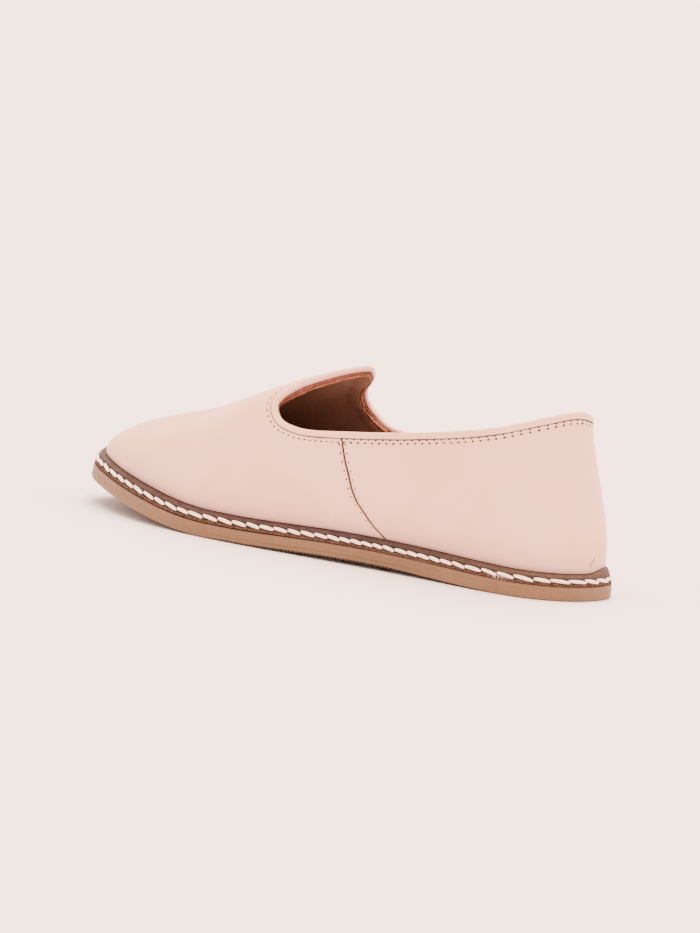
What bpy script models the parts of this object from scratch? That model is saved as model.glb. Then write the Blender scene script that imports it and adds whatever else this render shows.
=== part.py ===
"""Left flat slip-on shoe: leather upper, rolled collar, leather midsole and rubber outsole.

+X points to the toe, +Y to the outer side of the foot and +Z up. The origin is on the floor, under the
middle of the sole. Sizes and tables are in millimetres, and meshes are made in metres.
"""
from collections import namedtuple

import bmesh
import bpy
import numpy as np

MM = 0.001

# Driving dimensions
SOLE_LENGTH = 260.0
OUTSOLE_THICKNESS = 5.6
OUTSOLE_EDGE_ROUND = 0.8
MIDSOLE_EDGE = 3.0          # leather thickness at its outer edge
MIDSOLE_TOP = 4.8           # leather thickness where it meets the upper
MIDSOLE_INSET = 0.3         # the leather's edge stands in from the rubber's
MIDSOLE_EDGE_ROUND = 0.7
WELT_MARGIN = 4.6           # leather that shows beyond the upper
HEEL_MARGIN_CUT = 1.8       # the margin narrows by this much behind the heel
HEEL_MARGIN_REACH = 40.0
INSOLE_THICKNESS = 2.0
INSOLE_EDGE_ROUND = 0.6
INSOLE_CLEARANCE = 1.4      # to the upper's inner wall
WALL = 2.2                  # upper leather and its lining
FOOT_STRIP = 1.6            # upright strip of the upper where it stands on the midsole
BINDING_HEIGHT = 3.0
BINDING_THICKNESS = 2.9
BINDING_GAP = 0.5           # crease below the binding
BINDING_SQUARING = 2 / 3    # squares the round section off a little
GAP = 0.3                   # air between pieces that touch

# Resolution
OUTLINE_POINTS = 720
SOLE_STEPS = 44
RIB_COUNT = 96
WALL_ROWS = 14
WALL_ROW_CROWDING = 1.35    # rows stand closer together near the sole
BINDING_SIDES = 10
PROFILE_POINTS = 160
SLOPE_STEP = 0.5
COLLAR_POINTS = 480
CREASE_SHARES = 12          # finer steps along the crease, to find its nearest point
SHARP_EDGE_DEG = 40

# Sole outline: breadth to each side of the heel's centre line, heel to toe
Station = namedtuple("Station", "x outer inner")
HEEL_END = (0.0, 0.0)
TOE_END = (SOLE_LENGTH, -9.0)
SOLE_STATIONS = [
    Station(4.0, 15.8, -15.8),
    Station(14.0, 25.4, -25.0),
    Station(32.0, 29.9, -29.0),
    Station(60.5, 32.0, -30.0),
    Station(91.0, 35.0, -31.0),
    Station(121.0, 39.0, -34.0),
    Station(151.0, 42.7, -39.5),
    Station(179.5, 43.1, -44.0),
    Station(206.5, 38.3, -44.2),
    Station(232.0, 27.1, -38.5),
    Station(251.0, 12.3, -27.0),
]

# Height of the underside above the floor: flat heel, arch, flat ball and toe spring
Lift = namedtuple("Lift", "x height")
SOLE_LIFT = [
    Lift(0.0, 0.0),
    Lift(45.0, 0.0),
    Lift(75.0, 1.2),
    Lift(105.0, 1.5),
    Lift(135.0, 0.45),
    Lift(150.0, 0.0),
    Lift(165.0, 0.0),
    Lift(178.0, 0.6),
    Lift(191.0, 2.0),
    Lift(204.0, 3.9),
    Lift(217.0, 5.8),
    Lift(240.0, 8.8),
    Lift(260.0, 11.1),
]

# Ribs of the upper, toe to heel. Each rises from the welt at foot_x to the collar's top edge.
# reach and lean place the shoulder between collar and welt, drop below the collar; rise and flare
# are the handle above the welt; dip hollows the instep between toe and tongue.
Rib = namedtuple("Rib", "foot_x collar_x outer inner z_outer z_inner reach lean drop rise flare dip")
RIBS = [
    Rib(256.0, 124.8, -1.0, -1.0, 73.9, 73.9, 0.42, 0.50, 16.5, 7.8, 0.6, 3.0),
    Rib(247.0, 127.8, 4.8, -6.6, 73.0, 71.5, 0.40, 0.48, 15.5, 8.0, 1.0, 2.8),
    Rib(232.0, 134.5, 10.9, -13.8, 69.2, 67.2, 0.36, 0.48, 12.5, 9.0, 1.6, 1.9),
    Rib(210.0, 144.5, 20.0, -24.4, 62.6, 59.8, 0.32, 0.54, 9.5, 11.5, 2.4, 0.8),
    Rib(187.0, 148.8, 25.0, -30.0, 56.0, 54.0, 0.27, 0.60, 9.0, 12.5, 2.6, 0.0),
    Rib(167.0, 145.2, 26.8, -31.4, 50.8, 49.9, 0.25, 0.60, 10.0, 13.5, 2.6, 0.0),
    Rib(148.0, 135.5, 27.8, -31.4, 48.4, 46.1, 0.25, 0.55, 12.0, 14.0, 2.6, 0.0),
    Rib(112.0, 107.0, 28.0, -29.0, 51.0, 47.6, 0.30, 0.50, 15.0, 14.0, 2.6, 0.0),
    Rib(70.0, 67.0, 27.0, -27.0, 57.2, 55.5, 0.30, 0.50, 18.0, 16.0, 2.4, 0.0),
    Rib(32.0, 36.5, 24.0, -24.0, 63.9, 63.4, 0.30, 0.55, 20.0, 18.0, 2.0, 0.0),
    Rib(10.0, 22.0, 15.5, -15.5, 69.4, 69.2, 0.28, 0.38, 22.0, 17.0, 0.8, 0.0),
    Rib(0.0, 17.3, 0.0, 0.0, 72.2, 72.2, 0.30, 0.50, 22.0, 17.0, 0.4, 0.0),
]
RIB_KNOT_POWER = 0.6
DIP_SKEW = 1.25             # moves the instep's hollow towards the tongue
DIP_SHARPNESS = 4

Finish = namedtuple("Finish", "colour roughness")
FINISHES = {
    "outsole": Finish((0.46, 0.25, 0.15), 0.75),
    "midsole": Finish((0.20, 0.085, 0.05), 0.8),
    "insole": Finish((0.38, 0.20, 0.11), 0.7),
    "upper": Finish((0.80, 0.60, 0.52), 0.45),
    "collar_binding": Finish((0.82, 0.63, 0.54), 0.45),
}


# Curves
def smooth_steps(knots, values, x):
    """Cubic through the values that never overshoots, so flat stretches stay flat."""
    step = np.diff(knots)
    slope = np.diff(values) / step
    ahead, behind = 2 * step[1:] + step[:-1], step[1:] + 2 * step[:-1]
    same_way = slope[1:] * slope[:-1] > 0
    steep = np.where(same_way, slope[1:], 1.0)
    gentle = np.where(same_way, slope[:-1], 1.0)
    tangent = np.zeros(len(values))
    tangent[1:-1] = np.where(same_way, (ahead + behind) / (ahead / gentle + behind / steep), 0.0)
    tangent[0], tangent[-1] = slope[0], slope[-1]
    i = np.clip(np.searchsorted(knots, x, side="right") - 1, 0, len(step) - 1)
    t = (x - knots[i]) / step[i]
    return ((1 + 2 * t) * (1 - t) ** 2 * values[i] + t * (1 - t) ** 2 * step[i] * tangent[i]
            + t * t * (3 - 2 * t) * values[i + 1] + t * t * (t - 1) * step[i] * tangent[i + 1])


def ring_knots(points, power):
    """Knots along a closed ring, spaced by the distance between points to a power."""
    closed = np.vstack([points, points[:1]])
    gaps = np.linalg.norm(np.diff(closed, axis=0), axis=1) ** power
    return np.concatenate([[0.0], np.cumsum(gaps)])


def ring_curve(points, knots, u):
    """Closed Catmull-Rom curve through rows of points, read at u."""
    count, whole = len(points), knots[-1]
    around = np.concatenate([[knots[-2] - whole], knots, knots[1:3] + whole])
    u = np.mod(u, whole)
    i = np.clip(np.searchsorted(knots, u, side="right") - 1, 0, count - 1)
    k0, k1, k2, k3 = (around[i + j][:, None] for j in range(4))
    p0, p1, p2, p3 = (points[(i + j) % count] for j in (-1, 0, 1, 2))
    out = (k2 - k1) * ((p1 - p0) / (k1 - k0) - (p2 - p0) / (k2 - k0) + (p2 - p1) / (k2 - k1))
    back = (k2 - k1) * ((p2 - p1) / (k2 - k1) - (p3 - p1) / (k3 - k1) + (p3 - p2) / (k3 - k2))
    t = (u[:, None] - k1) / (k2 - k1)
    return ((1 + 2 * t) * (1 - t) ** 2 * p1 + t * (1 - t) ** 2 * out
            + t * t * (3 - 2 * t) * p2 + t * t * (t - 1) * back)


# Sole
def sole_outline():
    """Closed plan outline of the sole: toe, outer side, heel, inner side."""
    outer = [(s.x, s.outer) for s in reversed(SOLE_STATIONS)]
    inner = [(s.x, s.inner) for s in SOLE_STATIONS]
    ring = np.array([TOE_END] + outer + [HEEL_END] + inner)
    knots = ring_knots(ring, 0.5)
    return ring_curve(ring, knots, np.linspace(0.0, knots[-1], OUTLINE_POINTS, endpoint=False))


def outward(loop):
    """Unit plan normals of an outline that runs toe, outer side, heel, inner side."""
    along = np.roll(loop, -1, axis=0) - np.roll(loop, 1, axis=0)
    along /= np.linalg.norm(along, axis=1)[:, None]
    return np.column_stack([along[:, 1], -along[:, 0]])


def welt_margin(x):
    """Leather that shows beyond the upper, narrower behind the heel."""
    near_heel = np.clip(1.0 - x / HEEL_MARGIN_REACH, 0.0, 1.0)
    return WELT_MARGIN - HEEL_MARGIN_CUT * near_heel ** 2


def inset_outline(distance):
    outline = sole_outline()
    return outline - outward(outline) * np.reshape(distance, (-1, 1))


def feather_outline(extra=0.0):
    """Where the upper meets the midsole, moved inwards by extra."""
    return inset_outline(welt_margin(sole_outline()[:, 0]) + extra)


def lift(x):
    table = np.array(SOLE_LIFT)
    return smooth_steps(table[:, 0], table[:, 1], np.clip(x, 0.0, SOLE_LENGTH))


def on_sole(x, height):
    """Place a height above the underside, square to the bent sole: its x and z."""
    angle = np.arctan((lift(x + SLOPE_STEP) - lift(x - SLOPE_STEP)) / (2 * SLOPE_STEP))
    return x - height * np.sin(angle), lift(x) + height * np.cos(angle)


def layer_ring(loop, height):
    """Ring of points on an outline at a height, with both sides paired at each station along x."""
    toe, heel = np.argmax(loop[:, 0]), np.argmin(loop[:, 0])
    outer = np.roll(loop, -toe, axis=0)[:(heel - toe) % len(loop) + 1]
    inner = np.roll(loop, -heel, axis=0)[:(toe - heel) % len(loop) + 1]
    turn = np.linspace(0.0, np.pi, SOLE_STEPS + 1)
    x = loop[heel, 0] + (loop[toe, 0] - loop[heel, 0]) * (1 + np.cos(turn)) / 2
    y_outer = np.interp(-x, -outer[:, 0], outer[:, 1])
    y_inner = np.interp(x, inner[:, 0], inner[:, 1])
    ring_x = np.concatenate([x, x[-2:0:-1]])
    ring_y = np.concatenate([y_outer, y_inner[-2:0:-1]])
    bent_x, z = on_sole(ring_x, height)
    return np.column_stack([bent_x, ring_y, z])


# Upper
def feather_reader():
    """Function from distance along the welt line to foot point and outward direction there."""
    loop = feather_outline()
    normal = outward(sole_outline())
    closed = np.vstack([loop, loop[:1]])
    arc = np.concatenate([[0.0], np.cumsum(np.linalg.norm(np.diff(closed, axis=0), axis=1))])
    columns = np.column_stack([closed, np.vstack([normal, normal[:1]])])

    def read(distance):
        wrapped = np.mod(distance, arc[-1])
        return np.column_stack([np.interp(wrapped, arc, column) for column in columns.T])

    return loop, arc, read


def rib_ring():
    """Rows of the rib table around the shoe: outer side toe to heel, then inner side back."""
    loop, arc, read = feather_reader()
    toe, heel = np.argmax(loop[:, 0]), np.argmin(loop[:, 0])
    outer_way = np.arange(toe, heel + 1)
    inner_way = np.arange(heel, toe + len(loop) + 1)
    inner_arc = arc[inner_way % len(loop)] + arc[-1] * (inner_way >= len(loop))
    rows = []
    for rib in RIBS:
        foot = np.interp(-rib.foot_x, -loop[outer_way, 0], arc[outer_way])
        rows.append([foot, rib.collar_x, rib.outer, rib.z_outer, *rib[6:]])
    for rib in RIBS[-2:0:-1]:
        foot = np.interp(rib.foot_x, loop[inner_way % len(loop), 0], inner_arc)
        rows.append([foot, rib.collar_x, rib.inner, rib.z_inner, *rib[6:]])
    rows = np.array(rows)
    knots = ring_knots(rows[:, 1:4], RIB_KNOT_POWER)
    rows[:, 0] -= arc[-1] * knots[:-1] / knots[-1]
    return rows, knots, arc[-1], read


def rib_profiles(u):
    """Outer surface of the upper along each rib u (0 to 1 around), welt to collar."""
    rows, knots, girth, read = rib_ring()
    value = ring_curve(rows, knots, u * knots[-1])
    foot = read(value[:, 0] + girth * u)
    seat = OUTSOLE_THICKNESS + MIDSOLE_TOP + GAP
    seat_x, seat_z = on_sole(foot[:, 0], seat)
    foot_x, foot_z = on_sole(foot[:, 0], seat + FOOT_STRIP)
    reach, lean, drop, rise, flare, dip = value[:, 4:].T
    collar = value[:, 1:4]
    base = np.column_stack([foot_x, foot[:, 1], foot_z])
    handle = base + np.column_stack([foot[:, 2] * flare, foot[:, 3] * flare, rise])
    shoulder = collar + (base - collar) * np.column_stack([reach, lean, np.zeros(len(u))])
    shoulder[:, 2] -= drop
    t = np.linspace(0.0, 1.0, PROFILE_POINTS)[None, :, None]
    skewed = t ** DIP_SKEW
    hollow = (4 * skewed * (1 - skewed)) ** DIP_SHARPNESS * dip[:, None, None] * np.array([0.0, 0.0, 1.0])
    base, handle, shoulder, collar = (p[:, None] for p in (base, handle, shoulder, collar))
    curve = ((1 - t) ** 3 * base + 3 * t * (1 - t) ** 2 * handle
             + 3 * t * t * (1 - t) * shoulder + t ** 3 * collar - hollow)
    seat_points = np.column_stack([seat_x, foot[:, 1], seat_z])[:, None]
    return np.concatenate([seat_points, curve], axis=1)


def unit(rows):
    return rows / np.linalg.norm(rows, axis=1)[:, None]


def upper_rows():
    """Grid of the upper's outer surface, up to the crease below the binding."""
    crowd = np.linspace(0.0, 1.0, WALL_ROWS - 1) ** WALL_ROW_CROWDING
    collar = rib_profiles(np.arange(COLLAR_POINTS) / COLLAR_POINTS)[:, -1]
    shoulder_up = slice(PROFILE_POINTS // 2, None)
    rows = []
    for profile in rib_profiles(np.arange(RIB_COUNT) / RIB_COUNT):
        arc = np.concatenate([[0.0], np.cumsum(np.linalg.norm(np.diff(profile, axis=0), axis=1))])
        below = np.linalg.norm(profile[:, None] - collar[None], axis=2).min(axis=1)
        crease = np.interp(-BINDING_HEIGHT - BINDING_GAP, -below[shoulder_up], arc[shoulder_up])
        wanted = np.concatenate([[0.0], FOOT_STRIP + crowd * (crease - FOOT_STRIP)])
        rows.append(np.column_stack([np.interp(wanted, arc, column) for column in profile.T]))
    return np.array(rows)


def collar_frame():
    """Collar edge with its upward and outward directions."""
    top = rib_profiles(np.arange(RIB_COUNT) / RIB_COUNT)[:, -1]
    along = unit(np.roll(top, -1, axis=0) - np.roll(top, 1, axis=0))
    crease = upper_rows()[:, -1]
    share = np.linspace(0.0, 1.0, CREASE_SHARES, endpoint=False)[None, :, None]
    crease = (crease[:, None] * (1 - share) + np.roll(crease, -1, axis=0)[:, None] * share).reshape(-1, 3)
    nearest = np.linalg.norm(top[:, None] - crease[None], axis=2).argmin(axis=1)
    climb = top - crease[nearest]
    up = unit(climb - along * np.sum(climb * along, axis=1)[:, None])
    return top, up, np.cross(along, up)


def binding_rings():
    """Rounded section of the rolled binding, carried round the collar."""
    top, up, out = collar_frame()
    middle = top - up * BINDING_HEIGHT / 2 - out * WALL / 2
    turn = (np.arange(BINDING_SIDES) + 0.5) * 2 * np.pi / BINDING_SIDES
    across = np.sign(np.cos(turn)) * np.abs(np.cos(turn)) ** BINDING_SQUARING * BINDING_THICKNESS / 2
    height = np.sign(np.sin(turn)) * np.abs(np.sin(turn)) ** BINDING_SQUARING * BINDING_HEIGHT / 2
    return middle[:, None] + out[:, None] * across[None, :, None] + up[:, None] * height[None, :, None]


# Blender objects
def clear_scene():
    for old in list(bpy.data.objects):
        bpy.data.objects.remove(old, do_unlink=True)


def new_object(name, rings, faces, collection, middle):
    """Mesh object in metres from rings of points in millimetres."""
    points = (np.reshape(rings, (-1, 3)) - np.append(middle, 0.0)) * MM
    mesh = bpy.data.meshes.new(name)
    mesh.from_pydata(points.tolist(), [], faces)
    shell = bmesh.new()
    shell.from_mesh(mesh)
    bmesh.ops.recalc_face_normals(shell, faces=shell.faces)
    shell.to_mesh(mesh)
    shell.free()
    mesh.shade_smooth()
    mesh.set_sharp_from_angle(angle=np.radians(SHARP_EDGE_DEG))
    finish = FINISHES[name]
    material = bpy.data.materials.new(name)
    material.use_nodes = True
    shader = material.node_tree.nodes["Principled BSDF"]
    shader.inputs["Base Color"].default_value = (*finish.colour, 1.0)
    shader.inputs["Roughness"].default_value = finish.roughness
    shader.inputs["Metallic"].default_value = 0.0
    mesh.materials.append(material)
    piece = bpy.data.objects.new(name, mesh)
    collection.objects.link(piece)
    return piece


def band_faces(ring_total, ring_size, closed_rings=False):
    """Quads between neighbouring rings of equal size."""
    faces = []
    for ring in range(ring_total if closed_rings else ring_total - 1):
        low, high = ring * ring_size, (ring + 1) % ring_total * ring_size
        for k in range(ring_size):
            after = (k + 1) % ring_size
            faces.append((low + k, low + after, high + after, high + k))
    return faces


def cap_faces(first, ring_size):
    """Strip across a paired sole ring, toe to heel."""
    half = ring_size // 2
    faces = [(first, first + 1, first + ring_size - 1)]
    for k in range(1, half - 1):
        faces.append((first + k, first + k + 1, first + ring_size - k - 1, first + ring_size - k))
    faces.append((first + half - 1, first + half, first + half + 1))
    return faces


def sole_layer(name, rings, collection, middle):
    """Loft through rings of one sole layer, closed below and above."""
    size = len(rings[0])
    faces = band_faces(len(rings), size) + cap_faces(0, size) + cap_faces((len(rings) - 1) * size, size)
    return new_object(name, rings, faces, collection, middle)


def make_outsole(collection, middle):
    bottom = layer_ring(inset_outline(OUTSOLE_EDGE_ROUND), 0.0)
    side = layer_ring(sole_outline(), OUTSOLE_EDGE_ROUND)
    top = layer_ring(sole_outline(), OUTSOLE_THICKNESS)
    return sole_layer("outsole", [bottom, side, top], collection, middle)


def make_midsole(collection, middle):
    edge = inset_outline(MIDSOLE_INSET)
    shoulder = inset_outline(MIDSOLE_INSET + MIDSOLE_EDGE_ROUND)
    rings = [
        layer_ring(edge, OUTSOLE_THICKNESS + GAP),
        layer_ring(edge, OUTSOLE_THICKNESS + MIDSOLE_EDGE - MIDSOLE_EDGE_ROUND),
        layer_ring(shoulder, OUTSOLE_THICKNESS + MIDSOLE_EDGE),
        layer_ring(feather_outline(), OUTSOLE_THICKNESS + MIDSOLE_TOP),
    ]
    return sole_layer("midsole", rings, collection, middle)


def make_insole(collection, middle):
    base = OUTSOLE_THICKNESS + MIDSOLE_TOP + GAP
    clear_of_wall = WALL + INSOLE_CLEARANCE
    rings = [
        layer_ring(feather_outline(clear_of_wall), base),
        layer_ring(feather_outline(clear_of_wall), base + INSOLE_THICKNESS - INSOLE_EDGE_ROUND),
        layer_ring(feather_outline(clear_of_wall + INSOLE_EDGE_ROUND), base + INSOLE_THICKNESS),
    ]
    return sole_layer("insole", rings, collection, middle)


def make_upper(collection, middle):
    grid = upper_rows()
    rings = np.transpose(grid, (1, 0, 2))
    upper = new_object("upper", rings, band_faces(WALL_ROWS, RIB_COUNT), collection, middle)
    wall = upper.modifiers.new("wall", "SOLIDIFY")
    wall.thickness = WALL * MM
    wall.offset = -1.0
    wall.use_even_offset = True
    return upper


def make_binding(collection, middle):
    faces = band_faces(RIB_COUNT, BINDING_SIDES, closed_rings=True)
    return new_object("collar_binding", binding_rings(), faces, collection, middle)


def main():
    clear_scene()
    collection = bpy.data.collections.new("flat_shoe")
    bpy.context.scene.collection.children.link(collection)
    outline = sole_outline()
    middle = (outline.min(axis=0) + outline.max(axis=0)) / 2
    for make in (make_outsole, make_midsole, make_insole, make_upper, make_binding):
        make(collection, middle)


main()
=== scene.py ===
import math

import bmesh
import bpy
import numpy as np
from mathutils import Matrix
from mathutils.kdtree import KDTree


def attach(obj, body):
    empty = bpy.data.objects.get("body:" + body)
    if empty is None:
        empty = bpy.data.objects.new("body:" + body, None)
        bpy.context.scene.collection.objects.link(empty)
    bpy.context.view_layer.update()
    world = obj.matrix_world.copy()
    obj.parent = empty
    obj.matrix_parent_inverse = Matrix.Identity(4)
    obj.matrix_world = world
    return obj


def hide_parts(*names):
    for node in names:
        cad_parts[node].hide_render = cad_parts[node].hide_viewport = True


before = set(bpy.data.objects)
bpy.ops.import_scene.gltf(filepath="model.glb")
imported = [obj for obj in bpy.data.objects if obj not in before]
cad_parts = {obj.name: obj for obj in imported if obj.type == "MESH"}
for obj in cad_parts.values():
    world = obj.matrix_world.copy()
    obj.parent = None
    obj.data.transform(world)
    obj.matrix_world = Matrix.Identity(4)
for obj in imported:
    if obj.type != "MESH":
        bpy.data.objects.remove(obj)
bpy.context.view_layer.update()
mm = 0.001
print("frame loaded:", sorted(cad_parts))

# The last, in mm: x runs from the heel's end to the toe, y to the outer side, z up
last = {
    "length": 260.0,
    "heelEnd": (0.0, 0.0),
    "toeEnd": (260.0, -9.0),
    "stations": [  # x, outer edge, inner edge of the sole
        (4.0, 15.8, -15.8), (14.0, 25.4, -25.0), (32.0, 29.9, -29.0), (60.5, 32.0, -30.0),
        (91.0, 35.0, -31.0), (121.0, 39.0, -34.0), (151.0, 42.7, -39.5), (179.5, 43.1, -44.0),
        (206.5, 38.3, -44.2), (232.0, 27.1, -38.5), (251.0, 12.3, -27.0),
    ],
    "outlinePoints": 2880,
    "outlineKnotPower": 0.5,
    "lift": [  # x, height of the underside above the floor
        (0.0, 0.0), (20.0, 0.0), (34.0, 0.3), (48.0, 0.7), (62.0, 1.15), (77.0, 1.5), (92.0, 1.6),
        (106.0, 1.45), (121.0, 0.95), (137.0, 0.38), (152.0, 0.0), (165.0, 0.0),
        (178.0, 0.6), (191.0, 2.0), (204.0, 3.9), (217.0, 5.8), (240.0, 8.8), (260.0, 11.1),
    ],
    "slopeReach": 0.5,      # the underside's slope is read this far to each side
    "outsole": 5.6,         # rubber thickness
    "midsole": 4.8,         # leather thickness at the upper
    "margin": 4.6,          # welt that shows beyond the upper
    "heelMarginCut": 1.8,
    "heelMarginReach": 40.0,
    "toeMarginCut": 1.3,
    "toeMarginFrom": 195.0,
    "toeMarginPace": 1.5,   # it grows this fast, so it is whole before the toe's end
    "seatGap": 0.14,
    "heelRise": 1.6,        # the seat climbs round the inner back of the heel
    "heelRiseAlong": (24.0, 8.0),   # x where it starts, and where it is whole
    "heelRiseAcross": (2.0, -12.0),
    "footStrip": 1.6,       # upright strip where the upper stands on the welt
    "ribKnotPower": 0.6,
    "dipSkew": 1.25,
    "dipSharpness": 5.5,
    "ribs": [  # foot x, collar x, outer, inner, z outer, z inner, reach, lean, drop, rise, flare, dip
        (256.0, 124.8, -1.0, -1.0, 73.2, 73.2, 0.42, 0.50, 15.2, 7.8, 0.6, 3.4),
        (247.0, 127.6, 4.8, -7.4, 72.5, 70.6, 0.40, 0.48, 14.3, 8.0, 1.0, 3.2),
        (232.0, 134.5, 10.9, -15.0, 69.4, 67.2, 0.36, 0.48, 11.8, 9.0, 1.6, 2.1),
        (210.0, 144.5, 20.0, -24.4, 63.0, 59.8, 0.32, 0.54, 9.5, 11.5, 2.4, 0.8),
        (187.0, 148.8, 25.0, -31.8, 56.0, 54.2, 0.27, 0.60, 9.0, 12.5, 2.6, 0.0),
        (167.0, 145.2, 26.8, -32.4, 50.8, 50.9, 0.25, 0.60, 10.0, 13.5, 2.6, 0.0),
        (148.0, 135.5, 27.8, -31.6, 48.4, 46.4, 0.25, 0.55, 12.0, 14.0, 2.6, 0.0),
        (112.0, 107.0, 28.0, -29.0, 51.0, 47.6, 0.30, 0.50, 15.0, 14.0, 2.6, 0.0),
        (70.0, 67.0, 27.0, -27.0, 57.2, 55.5, 0.30, 0.50, 18.0, 16.0, 2.4, 0.0),
        (32.0, 36.5, 24.0, -24.0, 63.9, 63.4, 0.30, 0.55, 20.0, 18.0, 2.0, 0.0),
        (10.0, 22.0, 15.5, -15.5, 69.4, 69.2, 0.28, 0.38, 22.0, 17.0, 0.8, 0.0),
        (0.0, 17.3, 0.0, 0.0, 72.2, 72.2, 0.30, 0.50, 22.0, 17.0, 0.4, 0.0),
    ],
}


# Curves
def smoothSteps(knots, values, x):  # cubic that never overshoots, so flat stretches stay flat
    step = np.diff(knots)
    slope = np.diff(values) / step
    ahead, behind = 2 * step[1:] + step[:-1], step[1:] + 2 * step[:-1]
    sameWay = slope[1:] * slope[:-1] > 0
    steep = np.where(sameWay, slope[1:], 1.0)
    gentle = np.where(sameWay, slope[:-1], 1.0)
    tangent = np.zeros(len(values))
    tangent[1:-1] = np.where(sameWay, (ahead + behind) / (ahead / gentle + behind / steep), 0.0)
    tangent[0], tangent[-1] = slope[0], slope[-1]
    i = np.clip(np.searchsorted(knots, x, side="right") - 1, 0, len(step) - 1)
    t = (x - knots[i]) / step[i]
    return ((1 + 2 * t) * (1 - t) ** 2 * values[i] + t * (1 - t) ** 2 * step[i] * tangent[i]
            + t * t * (3 - 2 * t) * values[i + 1] + t * t * (t - 1) * step[i] * tangent[i + 1])


def lookUp(x, table):  # straight steps through a table of two columns
    places, values = np.array(table).T
    return np.interp(x, places, values)


def interpRows(at, run, rows):  # rows of numbers, read at distances along their run
    return np.column_stack([np.interp(at, run, column) for column in rows.T])


def closeLoop(points):
    return np.vstack([points, points[:1]])


def ringKnots(points, power):
    gaps = np.linalg.norm(np.diff(closeLoop(points), axis=0), axis=1) ** power
    return np.concatenate([[0.0], np.cumsum(gaps)])


def ringCurve(points, knots, u):  # closed Catmull-Rom curve through rows of points
    count, whole = len(points), knots[-1]
    around = np.concatenate([[knots[-2] - whole], knots, knots[1:3] + whole])
    u = np.mod(u, whole)
    i = np.clip(np.searchsorted(knots, u, side="right") - 1, 0, count - 1)
    k0, k1, k2, k3 = (around[i + j][:, None] for j in range(4))
    p0, p1, p2, p3 = (points[(i + j) % count] for j in (-1, 0, 1, 2))
    out = (k2 - k1) * ((p1 - p0) / (k1 - k0) - (p2 - p0) / (k2 - k0) + (p2 - p1) / (k2 - k1))
    back = (k2 - k1) * ((p2 - p1) / (k2 - k1) - (p3 - p1) / (k3 - k1) + (p3 - p2) / (k3 - k2))
    t = (u[:, None] - k1) / (k2 - k1)
    return ((1 + 2 * t) * (1 - t) ** 2 * p1 + t * (1 - t) ** 2 * out
            + t * t * (3 - 2 * t) * p2 + t * t * (t - 1) * back)


def unit(rows):
    return rows / np.linalg.norm(rows, axis=-1, keepdims=True)


def runLength(points):  # distance along a run of points
    return np.concatenate([[0.0], np.cumsum(np.linalg.norm(np.diff(points, axis=0), axis=1))])


def bell(x):
    return np.exp(-x * x)


def ease(x):
    x = np.clip(x, 0.0, 1.0)
    return x * x * (3 - 2 * x)


def easeBetween(x, start, end):  # 0 at start, 1 at end
    return ease((x - start) / (end - start))


def waver(s, whole, turns, seed):  # soft irregular wave along a closed run, about -1 to 1
    rng = np.random.default_rng(seed)
    phases = rng.uniform(0, 2 * np.pi, len(turns))
    waves = [np.sin(2 * np.pi * s / whole * k + p) for k, p in zip(turns, phases)]
    return np.sum(waves, axis=0) / len(turns) ** 0.5


# Plan of the sole
def soleOutline():
    outer = [row[:2] for row in reversed(last["stations"])]
    inner = [(row[0], row[2]) for row in last["stations"]]
    ring = np.array([last["toeEnd"]] + outer + [last["heelEnd"]] + inner)
    knots = ringKnots(ring, last["outlineKnotPower"])
    return ringCurve(ring, knots, np.linspace(0.0, knots[-1], last["outlinePoints"], endpoint=False))


def outward(loop):
    along = unit(np.roll(loop, -1, axis=0) - np.roll(loop, 1, axis=0))
    return np.column_stack([along[:, 1], -along[:, 0]])


outline = soleOutline()
outlineOut = outward(outline)
middle = (outline.min(axis=0) + outline.max(axis=0)) / 2


def weltMargin(x):
    nearHeel = np.clip(1.0 - x / last["heelMarginReach"], 0.0, 1.0)
    nearToe = (x - last["toeMarginFrom"]) / (last["length"] - last["toeMarginFrom"])
    toeCut = last["toeMarginCut"] * ease(last["toeMarginPace"] * nearToe)
    return last["margin"] - last["heelMarginCut"] * nearHeel ** 2 - toeCut


def seatRise(x, y):
    along, across = easeBetween(x, *last["heelRiseAlong"]), easeBetween(y, *last["heelRiseAcross"])
    return last["heelRise"] * along * across


def insetOutline(distance):
    return outline - outlineOut * np.reshape(distance, (-1, 1))


def marginOutline(share, extra=0.0):  # share 0 is the welt's edge, 1 is where the upper stands
    return insetOutline(share * weltMargin(outline[:, 0]) + extra)


def lift(x):
    table = np.array(last["lift"])
    return smoothSteps(table[:, 0], table[:, 1], np.clip(x, 0.0, last["length"]))


def onSole(x, height):  # x and z of a height measured square to the bent sole
    reach = last["slopeReach"]
    angle = np.arctan((lift(x + reach) - lift(x - reach)) / (2 * reach))
    return x - height * np.sin(angle), lift(x) + height * np.cos(angle)


def layerRing(loop, height, steps):  # ring at a height, both sides paired at each station along x
    toe, heel = np.argmax(loop[:, 0]), np.argmin(loop[:, 0])
    outer = np.roll(loop, -toe, axis=0)[:(heel - toe) % len(loop) + 1]
    inner = np.roll(loop, -heel, axis=0)[:(toe - heel) % len(loop) + 1]
    turn = np.linspace(0.0, np.pi, steps + 1)
    x = loop[heel, 0] + (loop[toe, 0] - loop[heel, 0]) * (1 + np.cos(turn)) / 2
    yOuter = np.interp(-x, -outer[:, 0], outer[:, 1])
    yInner = np.interp(x, inner[:, 0], inner[:, 1])
    ringX = np.concatenate([x, x[-2:0:-1]])
    ringY = np.concatenate([yOuter, yInner[-2:0:-1]])
    bentX, z = onSole(ringX, height(ringX) if callable(height) else height)
    return np.column_stack([bentX, ringY, z])


# Mesh helpers
def toRow(points):
    return (np.reshape(points, (-1, 3)) - np.append(middle, 0.0)) * mm


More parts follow.
